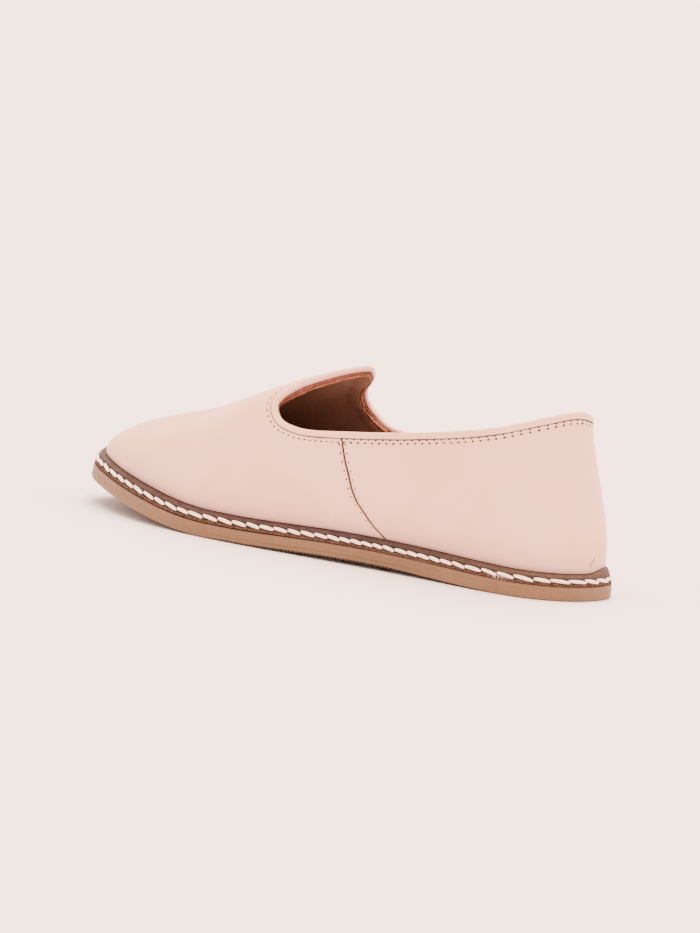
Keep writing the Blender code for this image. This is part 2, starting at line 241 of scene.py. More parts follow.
def bandFaces(ringTotal, ringSize, closedRows=True, closedRings=False):
    faces = []
    for ring in range(ringTotal if closedRings else ringTotal - 1):
        low, high = ring * ringSize, (ring + 1) % ringTotal * ringSize
        for k in range(ringSize if closedRows else ringSize - 1):
            after = (k + 1) % ringSize
            faces.append((low + k, low + after, high + after, high + k))
    return faces


def capFaces(first, size):
    half = size // 2
    faces = [(first, first + 1, first + size - 1)]
    for k in range(1, half - 1):
        faces.append((first + k, first + k + 1, first + size - k - 1, first + size - k))
    faces.append((first + half - 1, first + half, first + half + 1))
    return faces


def linkObject(name, data):
    item = bpy.data.objects.new(name, data)
    bpy.context.scene.collection.objects.link(item)
    return item


def turnOutward(mesh):  # for a closed shell
    shell = bmesh.new()
    shell.from_mesh(mesh)
    bmesh.ops.recalc_face_normals(shell, faces=shell.faces)
    shell.to_mesh(mesh)
    shell.free()


def addPiece(name, points, faces, material, flags, closed=True):
    mesh = bpy.data.meshes.new(name)
    mesh.from_pydata(toRow(points).tolist(), [], faces)
    for flag, values in flags.items():
        attribute = mesh.attributes.new(flag, "FLOAT", "POINT")
        attribute.data.foreach_set("value", np.ravel(values).astype(np.float32))
    if closed:
        turnOutward(mesh)
    mesh.shade_smooth()
    mesh.materials.append(material)
    return linkObject(name, mesh)


def bake(piece):  # the evaluated mesh becomes the piece's own, and its modifiers go
    bpy.context.view_layer.update()
    mesh = bpy.data.meshes.new_from_object(piece.evaluated_get(bpy.context.evaluated_depsgraph_get()))
    piece.modifiers.clear()
    piece.data = mesh
    mesh.name = piece.name
    return piece


def thicken(piece, thickness):
    wall = piece.modifiers.new("wall", "SOLIDIFY")
    wall.thickness = thickness * mm
    wall.offset = -1.0
    wall.use_even_offset = True
    return bake(piece)


def finishPiece(piece, slot, *nodes):
    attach(piece, "root")
    if nodes:
        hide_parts(*nodes)
    piece.data.calc_loop_triangles()
    print("made", piece.name, len(piece.data.loop_triangles), "triangles")


def pointTree(points):
    tree = KDTree(len(points))
    for k, point in enumerate(points):
        tree.insert(point, k)
    tree.balance()
    return tree


# Materials
def newMaterial(name, sockets):
    material = bpy.data.materials.new(name)
    material.use_nodes = True
    shader = material.node_tree.nodes["Principled BSDF"]
    for socket, value in sockets.items():
        shader.inputs[socket].default_value = value
    return material, material.node_tree, shader


def srgb(r, g, b):  # 0 to 255 as seen, to the linear values that sockets take
    seen = np.array([r, g, b]) / 255
    linear = np.where(seen <= 0.04045, seen / 12.92, ((seen + 0.055) / 1.055) ** 2.4)
    return (*[float(v) for v in linear], 1.0)


def addNode(tree, kind, inputs=None, **settings):  # inputs are sockets to link, or values
    node = tree.nodes.new(kind)
    for key, value in settings.items():
        setattr(node, key, value)
    for key, value in (inputs or {}).items():
        if isinstance(value, bpy.types.NodeSocket):
            tree.links.new(value, node.inputs[key])
        else:
            node.inputs[key].default_value = value
    return node.outputs


def noise(tree, scale, detail=3.0, roughness=0.55, stretch=None):
    place = addNode(tree, "ShaderNodeTexCoord")["Object"]
    if stretch:
        place = addNode(tree, "ShaderNodeMapping", {"Vector": place, "Scale": stretch})["Vector"]
    values = {"Vector": place, "Scale": scale, "Detail": detail, "Roughness": roughness}
    return addNode(tree, "ShaderNodeTexNoise", values)["Fac"]


def cells(tree, scale):
    values = {"Vector": addNode(tree, "ShaderNodeTexCoord")["Object"], "Scale": scale}
    return addNode(tree, "ShaderNodeTexVoronoi", values, feature="SMOOTH_F1")["Distance"]


def flagValue(tree, flag):
    return addNode(tree, "ShaderNodeAttribute", attribute_name=flag)["Fac"]


def ramp(tree, source, low, high, toLow=0.0, toHigh=1.0):
    values = {"Value": source, "From Min": low, "From Max": high, "To Min": toLow, "To Max": toHigh}
    return addNode(tree, "ShaderNodeMapRange", values, interpolation_type="SMOOTHSTEP")["Result"]


def patches(tree, pattern, toLow=0.0, toHigh=1.0, stretch=None):
    # pattern: scale, detail and roughness of a noise, and its values where a patch starts and is whole
    scale, detail, roughness, low, high = pattern
    return ramp(tree, noise(tree, scale, detail, roughness, stretch), low, high, toLow, toHigh)


def blendColours(tree, factor, first, second):
    return addNode(tree, "ShaderNodeMix", {"Factor": factor, 6: first, 7: second}, data_type="RGBA")[2]


def combine(tree, operation, first, second=0.0):
    return addNode(tree, "ShaderNodeMath", {0: first, 1: second}, operation=operation)[0]


def addBump(tree, shader, height, look):
    values = {"Height": height, "Strength": look["bump"], "Distance": look["bumpDepth"] * mm}
    tree.links.new(addNode(tree, "ShaderNodeBump", values)["Normal"], shader.inputs["Normal"])


def grainLeather(name, look):  # smooth grain leather, with painted shading from the base flag and painted shade in creases, seams and recesses from the crease flag
    material, tree, shader = newMaterial(name, look["sockets"])
    colour = blendColours(tree, patches(tree, look["cloud"]), look["light"], look["deep"])
    colour = blendColours(tree, patches(tree, look["speck"], 0.0, look["speckMix"]), colour, look["deep"])
    # painted shading: the base flag darkens the upper above the welt and lightens the lining's inner wall
    base = combine(tree, "MULTIPLY", flagValue(tree, "base"), look["paintedShadingMix"])
    colour = blendColours(tree, base, colour, look["paintedShadingTone"])
    # painted shade in creases, seams, grooves and recesses
    colour = blendColours(tree, flagValue(tree, "crease"), colour, look["dirtAndShade"])
    tree.links.new(colour, shader.inputs["Base Color"])
    tree.links.new(patches(tree, look["gloss"], *look["roughness"]), shader.inputs["Roughness"])
    pores = combine(tree, "MULTIPLY", cells(tree, look["poreScale"]), look["poreMix"])
    addBump(tree, shader, combine(tree, "ADD", noise(tree, *look["skin"]), pores), look)
    return material


upperLook = {
    "sockets": {
        "Coat Weight": 0.08, "Coat Roughness": 0.3, "Sheen Weight": 0.03, "Specular IOR Level": 0.45},
    "light": srgb(240, 193, 168),
    "deep": srgb(234, 184, 157),
    # painted shade for creases, seams, the binding's groove and the upper's foot
    "dirtAndShade": srgb(74, 66, 66),
    # painted shade above the welt on the upper, painted light on the lining's inner wall
    "paintedShadingTone": srgb(180, 146, 132),
    "paintedShadingMix": 0.6,
    "cloud": (28.0, 3.0, 0.55, 0.35, 0.65),
    "speck": (900.0, 2.0, 0.55, 0.55, 0.75),
    "speckMix": 0.35,
    "gloss": (120.0, 3.0, 0.55, 0.3, 0.7),
    "roughness": (0.36, 0.48),
    "poreScale": 1500.0,
    "poreMix": 0.8,
    "skin": (700.0, 4.0),
    "bump": 0.16,
    "bumpDepth": 0.12,
}
pinkLeather = grainLeather("pinkLeather", upperLook)
bindingLook = dict(upperLook, light=srgb(237, 194, 167), deep=srgb(230, 184, 155), roughness=(0.34, 0.44))
bindingLeather = grainLeather("bindingLeather", bindingLook)
liningLook = dict(
    # painted shade colour for the lining's toe end and the sock's rim
    upperLook, light=srgb(137, 111, 95), deep=srgb(122, 96, 81), dirtAndShade=srgb(50, 36, 30),
    cloud=(26.0, 3.0, 0.55, 0.35, 0.65), speck=(500.0, 2.0, 0.55, 0.55, 0.75),
    roughness=(0.55, 0.75), skin=(420.0, 4.0), bump=0.35, bumpDepth=0.25)
liningLeather = grainLeather("liningLeather", liningLook)
sockLook = dict(
    liningLook, light=srgb(150, 112, 88), deep=srgb(138, 100, 76),
    cloud=(24.0, 3.0, 0.55, 0.35, 0.65), roughness=(0.42, 0.6), bump=0.2)
sockLeather = grainLeather("sockLeather", sockLook)


def rawEdge(name, look):  # cut edge of leather: fibrous and streaky along the cut
    material, tree, shader = newMaterial(name, look["sockets"])
    colour = blendColours(tree, patches(tree, look["streak"]), look["light"], look["deep"])
    tree.links.new(colour, shader.inputs["Base Color"])
    addBump(tree, shader, noise(tree, *look["fibre"]), look)
    return material


stripLook = {
    "sockets": {"Roughness": 0.7},
    "light": srgb(128, 74, 56),
    "deep": srgb(84, 44, 34),
    "streak": (500.0, 4.0, 0.7, 0.35, 0.65),
    "fibre": (1500.0, 4.0, 0.7),
    "bump": 0.5,
    "bumpDepth": 0.25,
}
stripEdge = rawEdge("stripEdge", stripLook)
lipLook = dict(
    stripLook, light=srgb(172, 112, 76), deep=srgb(134, 80, 54), streak=(420.0, 4.0, 0.7, 0.35, 0.65))
lipEdge = rawEdge("lipEdge", lipLook)


def weltLeather(name, look):  # smooth brown top and a rough, fibrous cut edge below it
    material, tree, shader = newMaterial(name, look["sockets"])
    top = blendColours(tree, patches(tree, look["mottle"]), look["topLight"], look["topDeep"])
    speckle = patches(tree, look["speckle"], 0.0, look["speckleMix"])
    top = blendColours(tree, speckle, top, look["cutDeep"])
    worn = combine(tree, "MULTIPLY", flagValue(tree, "worn"), look["wornMix"])
    top = blendColours(tree, worn, top, look["wornTone"])
    paleSpots = combine(tree, "MULTIPLY", patches(tree, look["paleSpots"]), worn)
    top = blendColours(tree, paleSpots, top, look["fleck"])
    fuzz = patches(tree, look["fuzz"], stretch=look["fuzzStretch"])
    cut = blendColours(tree, fuzz, look["cutDeep"], look["cutLight"])
    cut = blendColours(tree, patches(tree, look["flecks"]), cut, look["fleck"])
    side = flagValue(tree, "cutEdge")
    colour = blendColours(tree, side, top, cut)
    # painted shade in the stitch channel and where the upper stands on the welt
    colour = blendColours(tree, flagValue(tree, "crease"), colour, look["dirtAndShade"])
    glue = combine(tree, "MULTIPLY", patches(tree, look["glueSpots"]), flagValue(tree, "stain"))
    colour = blendColours(tree, glue, colour, look["glue"])
    tree.links.new(colour, shader.inputs["Base Color"])
    tree.links.new(ramp(tree, side, 0.0, 1.0, *look["roughness"]), shader.inputs["Roughness"])
    grain = combine(tree, "MULTIPLY", noise(tree, *look["grain"]), look["grainMix"])
    rough = combine(tree, "MULTIPLY", noise(tree, *look["fibre"]), side)
    addBump(tree, shader, combine(tree, "ADD", grain, rough), look)
    return material


brownWelt = weltLeather("weltLeather", {
    "sockets": {"Specular IOR Level": 0.12},
    "topLight": srgb(75, 63, 59),
    "topDeep": srgb(53, 46, 44),
    "wornTone": srgb(89, 71, 60),
    "wornMix": 0.65,
    "cutLight": srgb(98, 77, 62),
    "cutDeep": srgb(46, 31, 26),
    "fleck": srgb(146, 116, 88),
    # painted shade colour for the channel and the feather line
    "dirtAndShade": srgb(36, 24, 20),
    "glue": srgb(206, 190, 172),
    "mottle": (260.0, 4.0, 0.55, 0.3, 0.7),
    "speckle": (1000.0, 4.0, 0.75, 0.42, 0.62),
    "speckleMix": 0.8,
    "paleSpots": (1300.0, 3.0, 0.7, 0.58, 0.70),
    "fuzz": (900.0, 5.0, 0.75, 0.36, 0.64),
    "fuzzStretch": (1.0, 1.0, 2.2),
    "flecks": (1500.0, 3.0, 0.7, 0.62, 0.70),
    "glueSpots": (900.0, 4.0, 0.7, 0.48, 0.62),
    "roughness": (0.6, 0.85),       # top, cut edge
    "grain": (600.0, 4.0),
    "grainMix": 0.35,
    "fibre": (1300.0, 5.0, 0.8),
    "bump": 0.5,
    "bumpDepth": 0.35,
})


def soleRubber(name, look):  # cut rubber with fine lines along its side
    material, tree, shader = newMaterial(name, {})
    colour = blendColours(tree, patches(tree, look["cloud"]), look["light"], look["deep"])
    scuff = patches(tree, look["scuff"], 0.0, look["scuffMix"], look["scuffStretch"])
    colour = blendColours(tree, scuff, colour, look["dirtAndShade"])
    # painted shade under the sole and along the rubber's edges
    colour = blendColours(tree, flagValue(tree, "crease"), colour, look["paintedShade"])
    ragged = combine(tree, "ADD", noise(tree, *look["ragged"]), flagValue(tree, "smear"))
    colour = blendColours(tree, ramp(tree, ragged, *look["smearFrom"]), colour, look["smear"])
    tree.links.new(colour, shader.inputs["Base Color"])
    tree.links.new(patches(tree, look["gloss"], *look["roughness"]), shader.inputs["Roughness"])
    turns = combine(tree, "MULTIPLY", flagValue(tree, "layerHeight"), look["lineTurns"])
    lines = combine(tree, "MULTIPLY", combine(tree, "SINE", turns), look["lineMix"])
    addBump(tree, shader, combine(tree, "ADD", lines, noise(tree, *look["grain"])), look)
    return material


rubberLook = {
    "light": srgb(114, 88, 58),
    "deep": srgb(105, 80, 52),
    "dirtAndShade": srgb(80, 60, 42),
    # painted shade colour
    "paintedShade": srgb(64, 50, 42),
    "smear": srgb(92, 67, 52),
    "cloud": (45.0, 3.0, 0.55, 0.3, 0.7),
    "scuff": (500.0, 4.0, 0.7, 0.6, 0.78),
    "scuffMix": 0.35,
    "scuffStretch": (1.0, 1.0, 3.0),
    "ragged": (900.0, 4.0, 0.7),
    "smearFrom": (1.0, 1.2),
    "gloss": (300.0, 3.0, 0.55, 0.3, 0.7),
    "roughness": (0.5, 0.68),
    "lineTurns": 9.0,
    "lineMix": 0.12,
    "grain": (1400.0, 3.0),
    "bump": 0.18,
    "bumpDepth": 0.15,
}
tanRubber = soleRubber("tanRubber", rubberLook)
# painted shade: a darker copy of the tan rubber for the ribs under the sole
soiledRubber = soleRubber("soiledRubber", dict(rubberLook, light=srgb(74, 60, 48), deep=srgb(56, 46, 38)))

threadLook = {
    "sockets": {"Roughness": 0.62},
    "fibre": (1100.0, 4.0, 0.65, 0.3, 0.7),
    "twist": (2200.0, 3.0, 0.7),
    "bump": 0.35,
    "bumpDepth": 0.2,
}


def waxedThread(name, light, deep):
    material, tree, shader = newMaterial(name, threadLook["sockets"])
    colour = blendColours(tree, patches(tree, threadLook["fibre"]), light, deep)
    tree.links.new(colour, shader.inputs["Base Color"])
    addBump(tree, shader, noise(tree, *threadLook["twist"]), threadLook)
    return material


creamThread = waxedThread("creamThread", srgb(255, 247, 228), srgb(250, 236, 210))
pinkThread = waxedThread("pinkThread", srgb(242, 202, 178), srgb(228, 182, 156))
# painted shade: near-black for the dishes that stand for needle holes
needleDark = waxedThread("needleDark", srgb(46, 34, 30), srgb(32, 24, 22))
print("materials done")


# Rows of stitches and ribs: one tree sets a shape along a path, at a pitch
def rowTree():
    tree = bpy.data.node_groups.new("rowOfPieces", "GeometryNodeTree")
    kinds = {
        "path": "Geometry", "pitch": "Float", "tilt": "Float", "tiltJitter": "Float", "sizeJitter": "Float",
        "seed": "Int", "evenly": "Bool", "shape": "Object", "finish": "Material"}
    for name, kind in kinds.items():
        tree.interface.new_socket(name, in_out="INPUT", socket_type="NodeSocket" + kind)
    tree.interface.new_socket("row", in_out="OUTPUT", socket_type="NodeSocketGeometry")
    given = addNode(tree, "NodeGroupInput")
    curve = addNode(tree, "GeometryNodeMeshToCurve", {"Mesh": given["path"]})["Curve"]
    length = addNode(tree, "GeometryNodeSplineLength")["Length"]
    count = combine(tree, "ROUND", combine(tree, "DIVIDE", length, given["pitch"]))
    counted = {"Curve": curve, "Count": count}
    even = addNode(tree, "GeometryNodeResampleCurve", counted, mode="COUNT")["Curve"]
    choice = {"Switch": given["evenly"], "False": curve, "True": even}
    places = addNode(tree, "GeometryNodeSwitch", choice, input_type="GEOMETRY")["Output"]
    named = "GeometryNodeInputNamedAttribute"
    away = addNode(tree, named, {"Name": "away"}, data_type="FLOAT_VECTOR")["Attribute"]
    spread = addNode(tree, named, {"Name": "spread"}, data_type="FLOAT_VECTOR")["Attribute"]
    axes = {"Primary Axis": away, "Secondary Axis": addNode(tree, "GeometryNodeInputTangent")["Tangent"]}
    facing = addNode(tree, "FunctionNodeAxesToRotation", axes, primary_axis="Z", secondary_axis="X")[0]
    swayRange = {2: -1.0, 3: 1.0, "Seed": given["seed"]}
    sway = addNode(tree, "FunctionNodeRandomValue", swayRange, data_type="FLOAT")[1]
    swaying = {0: sway, 1: given["tiltJitter"], 2: given["tilt"]}
    tilt = addNode(tree, "ShaderNodeMath", swaying, operation="MULTIPLY_ADD")[0]
    angles = addNode(tree, "ShaderNodeCombineXYZ", {"Z": tilt})[0]
    turns = {"Rotation": facing, "Rotate By": addNode(tree, "FunctionNodeEulerToRotation", {0: angles})[0]}
    turned = addNode(tree, "FunctionNodeRotateRotation", turns, rotation_space="LOCAL")[0]
    growRange = {0: (-1.0,) * 3, 1: (1.0,) * 3, "Seed": given["seed"]}
    grow = addNode(tree, "FunctionNodeRandomValue", growRange, data_type="FLOAT_VECTOR")[0]
    scaled = {0: grow, "Scale": given["sizeJitter"]}
    growth = addNode(tree, "ShaderNodeVectorMath", scaled, operation="SCALE")[0]
    growing = {0: growth, 1: spread, 2: spread}
    size = addNode(tree, "ShaderNodeVectorMath", growing, operation="MULTIPLY_ADD")[0]
    shape = addNode(tree, "GeometryNodeObjectInfo", {"Object": given["shape"]}, transform_space="ORIGINAL")
    fitted = {"Points": places, "Instance": shape["Geometry"], "Rotation": turned, "Scale": size}
    copies = addNode(tree, "GeometryNodeInstanceOnPoints", fitted)["Instances"]
    real = addNode(tree, "GeometryNodeRealizeInstances", {"Geometry": copies})["Geometry"]
    painted = {"Geometry": real, "Material": given["finish"]}
    addNode(tree, "NodeGroupOutput", {"row": addNode(tree, "GeometryNodeSetMaterial", painted)["Geometry"]})
    return tree


pieceRow = rowTree()
rowDefaults = {"tilt": 0.0, "tiltJitter": 0.0, "sizeJitter": 0.0, "evenly": True}


def pathPiece(name, paths):  # mesh of open or closed runs with their facing and spread
    points, edges, away, spread = [], [], [], []
    for path in paths:
        first, count = len(points), len(path["points"])
        points.extend(toRow(path["points"]).tolist())
        away.extend(np.asarray(path["away"]).tolist())
        spread.extend(np.broadcast_to(path["spread"], (count, 3)).tolist())
        edges.extend((first + k, first + k + 1) for k in range(count - 1))
        if path["closed"]:
            edges.append((first + count - 1, first))
    mesh = bpy.data.meshes.new(name)
    mesh.from_pydata(points, edges, [])
    for flag, values in (("away", away), ("spread", spread)):
        mesh.attributes.new(flag, "FLOAT_VECTOR", "POINT").data.foreach_set("vector", np.ravel(values))
    return linkObject(name, mesh)


def rowPiece(name, paths, shape, material, settings):
    piece = pathPiece(name, paths)
    row = piece.modifiers.new("row", "NODES")
    row.node_group = pieceRow
    values = {**rowDefaults, **settings, "shape": shape, "finish": material}
    for item in pieceRow.interface.items_tree:
        if item.in_out == "INPUT" and item.name in values:
            row[item.identifier] = values[item.name]
    bake(piece)
    piece.data.shade_smooth()
    bpy.data.objects.remove(shape)
    return piece


def shapePiece(name, points, faces):  # scratch shape in mm about its own origin, for a row
    mesh = bpy.data.meshes.new(name)
    mesh.from_pydata((np.reshape(points, (-1, 3)) * mm).tolist(), [], faces)
    turnOutward(mesh)
    return linkObject(name, mesh)


def tubeShape(name, stations, sides, ply=0.0, plyTurns=0.0, shear=0.0):
    # stations: x, half breadth, half height, z
    turn = np.arange(sides) * 2 * np.pi / sides
    rings = []
    for k, (x, breadth, height, z) in enumerate(stations):
        swell = 1 + ply * np.cos(2 * turn + plyTurns * k / len(stations) * 2 * np.pi)
        y = np.cos(turn) * breadth * swell
        rings.append(np.column_stack([x - shear * y, y, z + np.sin(turn) * height * swell]))
    ends = [[stations[0][0], 0.0, stations[0][3]], [stations[-1][0], 0.0, stations[-1][3]]]
    points = np.concatenate([np.concatenate(rings), ends])
    total = len(stations) * sides
    faces = bandFaces(len(stations), sides)
    for k in range(sides):
        after = (k + 1) % sides
        faces.append((k, after, total))
        faces.append((total - sides + k, total - sides + after, total + 1))
    return shapePiece(name, points, faces)


# Outsole: tan rubber with a fine ribbed tread, whose ribs run out to the edge only at the waist
outsole = {
    "steps": 420,
    "base": 0.55,           # the ribs stand this far below the sheet
    "smear": [(4.4, 0.0), (5.0, 0.38), (5.4, 0.65), (5.6, 0.75)],   # height, brown from the leather above
    "sections": [  # inset, height above the underside, share of the rim's drop, painted shade
        (2.6, 0.0, 0.0, 0.9), (2.3, 0.0, 1.0, 0.9), (0.55, 0.0, 1.0, 0.7), (0.22, 0.08, 1.0, 0.2),
        (0.06, 0.3, 1.0, 0.0), (0.0, 0.75, 1.0, 0.0), (0.0, 1.7, 0.4, 0.0), (0.05, 1.85, 0.2, 0.1),
        (0.0, 2.0, 0.0, 0.0), (0.0, 3.4, 0.0, 0.0), (0.05, 3.5, 0.0, 0.08), (0.0, 3.6, 0.0, 0.0),
        (0.0, 4.4, 0.0, 0.0), (0.01, 5.0, 0.0, 0.0), (0.04, 5.3, 0.0, 0.0), (0.2, 5.55, 0.0, 0.0),
        (0.8, 5.6, 0.0, 0.3),
    ],
    "rimTop": 1.9,          # sections below this follow the rim
    "waist": (58.0, 80.0, 150.0, 172.0),
    "toeFlare": 1.0,        # the toe's side leans out towards the bottom
    "toeFlareFrom": 205.0,
    "toeFlareFade": 0.5,    # share of it that is gone at the welt's top
    "sharpAngle": 50.0,
    "ribPitch": 1.7,
    "ribBase": 1.25,
    "ribTip": 0.6,
    "ribSink": 0.1,         # each rib starts this far inside the sheet
    "ribInset": 0.3,
    "rimWidth": 2.2,
    "seed": 3,
}


def waistShare(x):  # 1 where the tread's ribs reach the edge
    start, whole, wholeEnd, end = outsole["waist"]
    return easeBetween(x, start, whole) * easeBetween(x, end, wholeEnd)


def toeFlare(height):  # how far the sole's side stands out near the toe, more at the bottom
    start = outsole["toeFlareFrom"]
    nearToe = np.clip((outline[:, 0] - start) / (last["length"] - start), 0.0, 1.0)
    fade = outsole["toeFlareFade"] * height / (last["outsole"] + last["midsole"])
    return outsole["toeFlare"] * nearToe ** 2 * np.clip(1.0 - fade, 0.0, 1.0)


def rimHeight(height, drop):
    return lambda x: height + outsole["base"] * (1 - drop * (1 - waistShare(x)))


def soleLayer(name, rings, material, flags):
    size = len(rings[0])
    faces = bandFaces(len(rings), size) + capFaces(0, size) + capFaces((len(rings) - 1) * size, size)
    return addPiece(name, rings, faces, material, flags)


def makeOutsole():
    rings, heights, paintedShade, smear = [], [], [], []
    for inset, height, drop, dirtAndShade in outsole["sections"]:
        atRim = rimHeight(height, drop) if height < outsole["rimTop"] else height
        rings.append(layerRing(insetOutline(inset - toeFlare(height)), atRim, outsole["steps"]))
        heights.append(np.full(len(rings[0]), height))
        paintedShade.append(np.full(len(rings[0]), dirtAndShade))
        smear.append(np.full(len(rings[0]), lookUp(height, outsole["smear"])))
    # painted shade under the sole and along the rubber's top edge
    flags = {"layerHeight": heights, "crease": paintedShade, "smear": smear}
    piece = soleLayer("outsoleRubber", rings, tanRubber, flags)
    piece.data.set_sharp_from_angle(angle=math.radians(outsole["sharpAngle"]))
    finishPiece(piece, "rubber_sole", "outsole")


def makeTread():
    base, tip, deep = outsole["ribBase"] / 2, outsole["ribTip"] / 2, outsole["base"] + outsole["ribSink"]
    profile = [(-base, 0.0), (base, 0.0), (tip, deep), (-tip, deep)]
    side = 0.5 / mm  # a rib one metre long, so that the spread is its length in metres
    ends = [[(x, y, z) for x, z in profile] for y in (-side, side)]
    rib = shapePiece("treadRib", ends, bandFaces(2, 4) + [(0, 1, 2, 3), (4, 5, 6, 7)])
    inset = outsole["ribInset"] + outsole["rimWidth"] * (1 - waistShare(outline[:, 0]))
    rim = layerRing(insetOutline(inset - toeFlare(0.0)), deep, outsole["steps"])
    half = len(rim) // 2
    outer, inner = rim[1:half], rim[:half:-1]
    centre = (outer + inner) / 2
    fall = np.gradient(centre[:, 2]) / np.gradient(centre[:, 0])
    flat, whole = np.zeros(half - 1), np.ones(half - 1)
    down = unit(np.column_stack([fall, flat, -whole]))
    spread = np.column_stack([whole, (outer[:, 1] - inner[:, 1]) * mm, whole])
    path = {"points": centre, "away": down, "spread": spread, "closed": False}
    settings = {"pitch": outsole["ribPitch"] * mm, "seed": outsole["seed"]}
    # ribs in painted shade
    piece = rowPiece("treadRibs", [path], rib, soiledRubber, settings)
    for face in piece.data.polygons:
        face.use_smooth = False
    finishPiece(piece, "rubber_sole")


# Midsole: brown leather whose margin is the welt, with a channel for the stitches
midsole = {
    "steps": 600,
    "edgeInset": 0.3,
    "roughness": 0.13,
    "roughRise": 0.3,
    "roughSeed": 11,
    "sections": [  # share of the margin, height, 1 on the cut edge, painted shade
        (0.0, 5.75, 1.0, 0.0), (0.0, 6.15, 1.0, 0.0), (0.0, 6.55, 1.0, 0.05), (0.0, 6.9, 1.0, 0.4),
        (0.03, 7.15, 0.8, 0.75), (0.08, 7.3, 0.5, 0.8), (0.14, 7.45, 0.2, 0.9), (0.20, 7.75, 0.0, 0.9),
        (0.25, 8.3, 0.0, 0.8), (0.29, 8.9, 0.0, 0.35), (0.34, 9.25, 0.0, 0.05), (0.42, 9.45, 0.0, 0.0),
        (0.56, 9.72, 0.0, 0.0), (0.70, 9.95, 0.0, 0.05), (0.83, 10.12, 0.0, 0.1), (0.92, 10.25, 0.0, 0.35),
        (1.0, 10.36, 0.0, 0.7), (1.2, 10.4, 0.0, 1.0), (1.8, 10.4, 0.0, 1.0),
    ],
    "flareReach": 0.8,            # share of the margin that leans out with the sole at the toe
    "riseShare": (0.25, 0.65),    # share of the margin where the seat's climb starts and is whole
    "threadShare": 0.09,
    "threadHeight": [(60.0, 7.75), (140.0, 8.15)],   # x, height of the stitches
    "channel": (0.13, 0.24),      # share of the margin where it lies, and its reach
    "ridge": (0.36, 0.12),        # the same for the ridge behind the stitches
    "toeRidge": 0.25,             # the ridge is this much higher round the toe
    "toeRidgeAlong": (195.0, 240.0),
    "worn": [  # x, how pale the top is
        (0.0, 1.0), (15.0, 0.95), (30.0, 0.65), (55.0, 0.25), (88.0, 0.0),
        (120.0, 0.03), (150.0, 0.2), (260.0, 0.28),
    ],
    "stain": (24.5, 28.0, 6.9),   # a pale glue mark on the cut edge
    "stainSize": (3.5, 6.0, 1.2),
    "sharpAngle": 60.0,
}


def threadHeight(x):
    return lookUp(x, midsole["threadHeight"])


def weltHeight(share, height):  # the channel follows the stitches, and the ridge rises round the toe
    (channelAt, channelReach), (ridgeAt, ridgeReach) = midsole["channel"], midsole["ridge"]
    channel = max(0.0, 1.0 - abs(share - channelAt) / channelReach)
    ridge = bell((share - ridgeAt) / ridgeReach) * midsole["toeRidge"]
    low = midsole["threadHeight"][0][1]
    return lambda x: (height + channel * (threadHeight(x) - low)
                      + ridge * easeBetween(x, *midsole["toeRidgeAlong"]))


def weltFlare(share, height):
    return toeFlare(height) * max(0.0, 1.0 - share / midsole["flareReach"])


def makeMidsole():
    rng = np.random.default_rng(midsole["roughSeed"])
    rings, cut, dirtAndShade = [], [], []
    for share, height, edge, paintedShade in midsole["sections"]:
        inset = midsole["edgeInset"] * (1 - min(share, 1.0)) - weltFlare(share, height)
        ring = layerRing(marginOutline(share, inset), weltHeight(share, height), midsole["steps"])
        ring[:, 2] += seatRise(ring[:, 0], ring[:, 1]) * easeBetween(share, *midsole["riseShare"])
        rough = rng.normal(0.0, 1.0, len(ring))
        rough = (np.roll(rough, 1) + 2 * rough + np.roll(rough, -1)) / 4 * midsole["roughness"] * edge
        plan = outward(ring[:, :2])
        rings.append(ring + np.column_stack([plan * rough[:, None], np.abs(rough) * midsole["roughRise"]]))
        cut.append(np.full(len(ring), edge))
        dirtAndShade.append(np.full(len(ring), paintedShade))
    places = np.array(rings)
    stain = bell(np.linalg.norm((places - midsole["stain"]) / midsole["stainSize"], axis=2))
    worn = lookUp(places[:, :, 0], midsole["worn"])
    # painted shade from the crease flag
    flags = {"cutEdge": cut, "crease": dirtAndShade, "stain": stain, "worn": worn}
    piece = soleLayer("midsoleWelt", rings, brownWelt, flags)
    piece.data.set_sharp_from_angle(angle=math.radians(midsole["sharpAngle"]))
    finishPiece(piece, "welt_leather", "midsole")


weltStitch = {
    "pitch": 6.8,
    "first": 39.4,          # from the toe's end round the outer side to the first stitch seen there
    "lengths": [  # as sewn by hand, from the toe to the heel
        8.6, 8.2, 7.3, 7.6, 7.5, 7.8, 6.9, 7.3, 6.6, 7.4, 7.8, 7.1, 6.9, 6.6, 6.3, 6.5, 6.4, 6.4, 5.9, 5.7,
        5.3, 5.2, 5.2, 4.9, 5.7, 6.1, 5.1, 5.5, 5.5, 5.9, 6.6, 7.5, 7.7, 7.3, 8.1, 6.8, 7.8, 7.9, 7.3, 7.9,
    ],
    "overlap": 1.02,
    "length": 6.5,
    "breadth": 1.35,
    "height": 1.2,
    "tube": {"sides": 12, "ply": 0.07, "plyTurns": 1.6, "shear": 0.55},   # the ends are cut on a slant
    "tilt": -6.5,
    "tiltJitter": 3.0,
    "sizeJitter": 0.06,
    "lean": 1.5,            # how far the stitches face outwards rather than up
    "seed": 5,
    "stations": [  # place along the stitch, thickness, rise
        (0.0, 0.42, -0.24), (0.03, 0.68, -0.10), (0.10, 0.90, 0.0), (0.22, 1.0, 0.08), (0.40, 1.03, 0.10),
        (0.58, 1.0, 0.10), (0.75, 0.95, 0.04), (0.89, 0.84, -0.05), (0.97, 0.62, -0.16), (1.0, 0.34, -0.28),
    ],
}


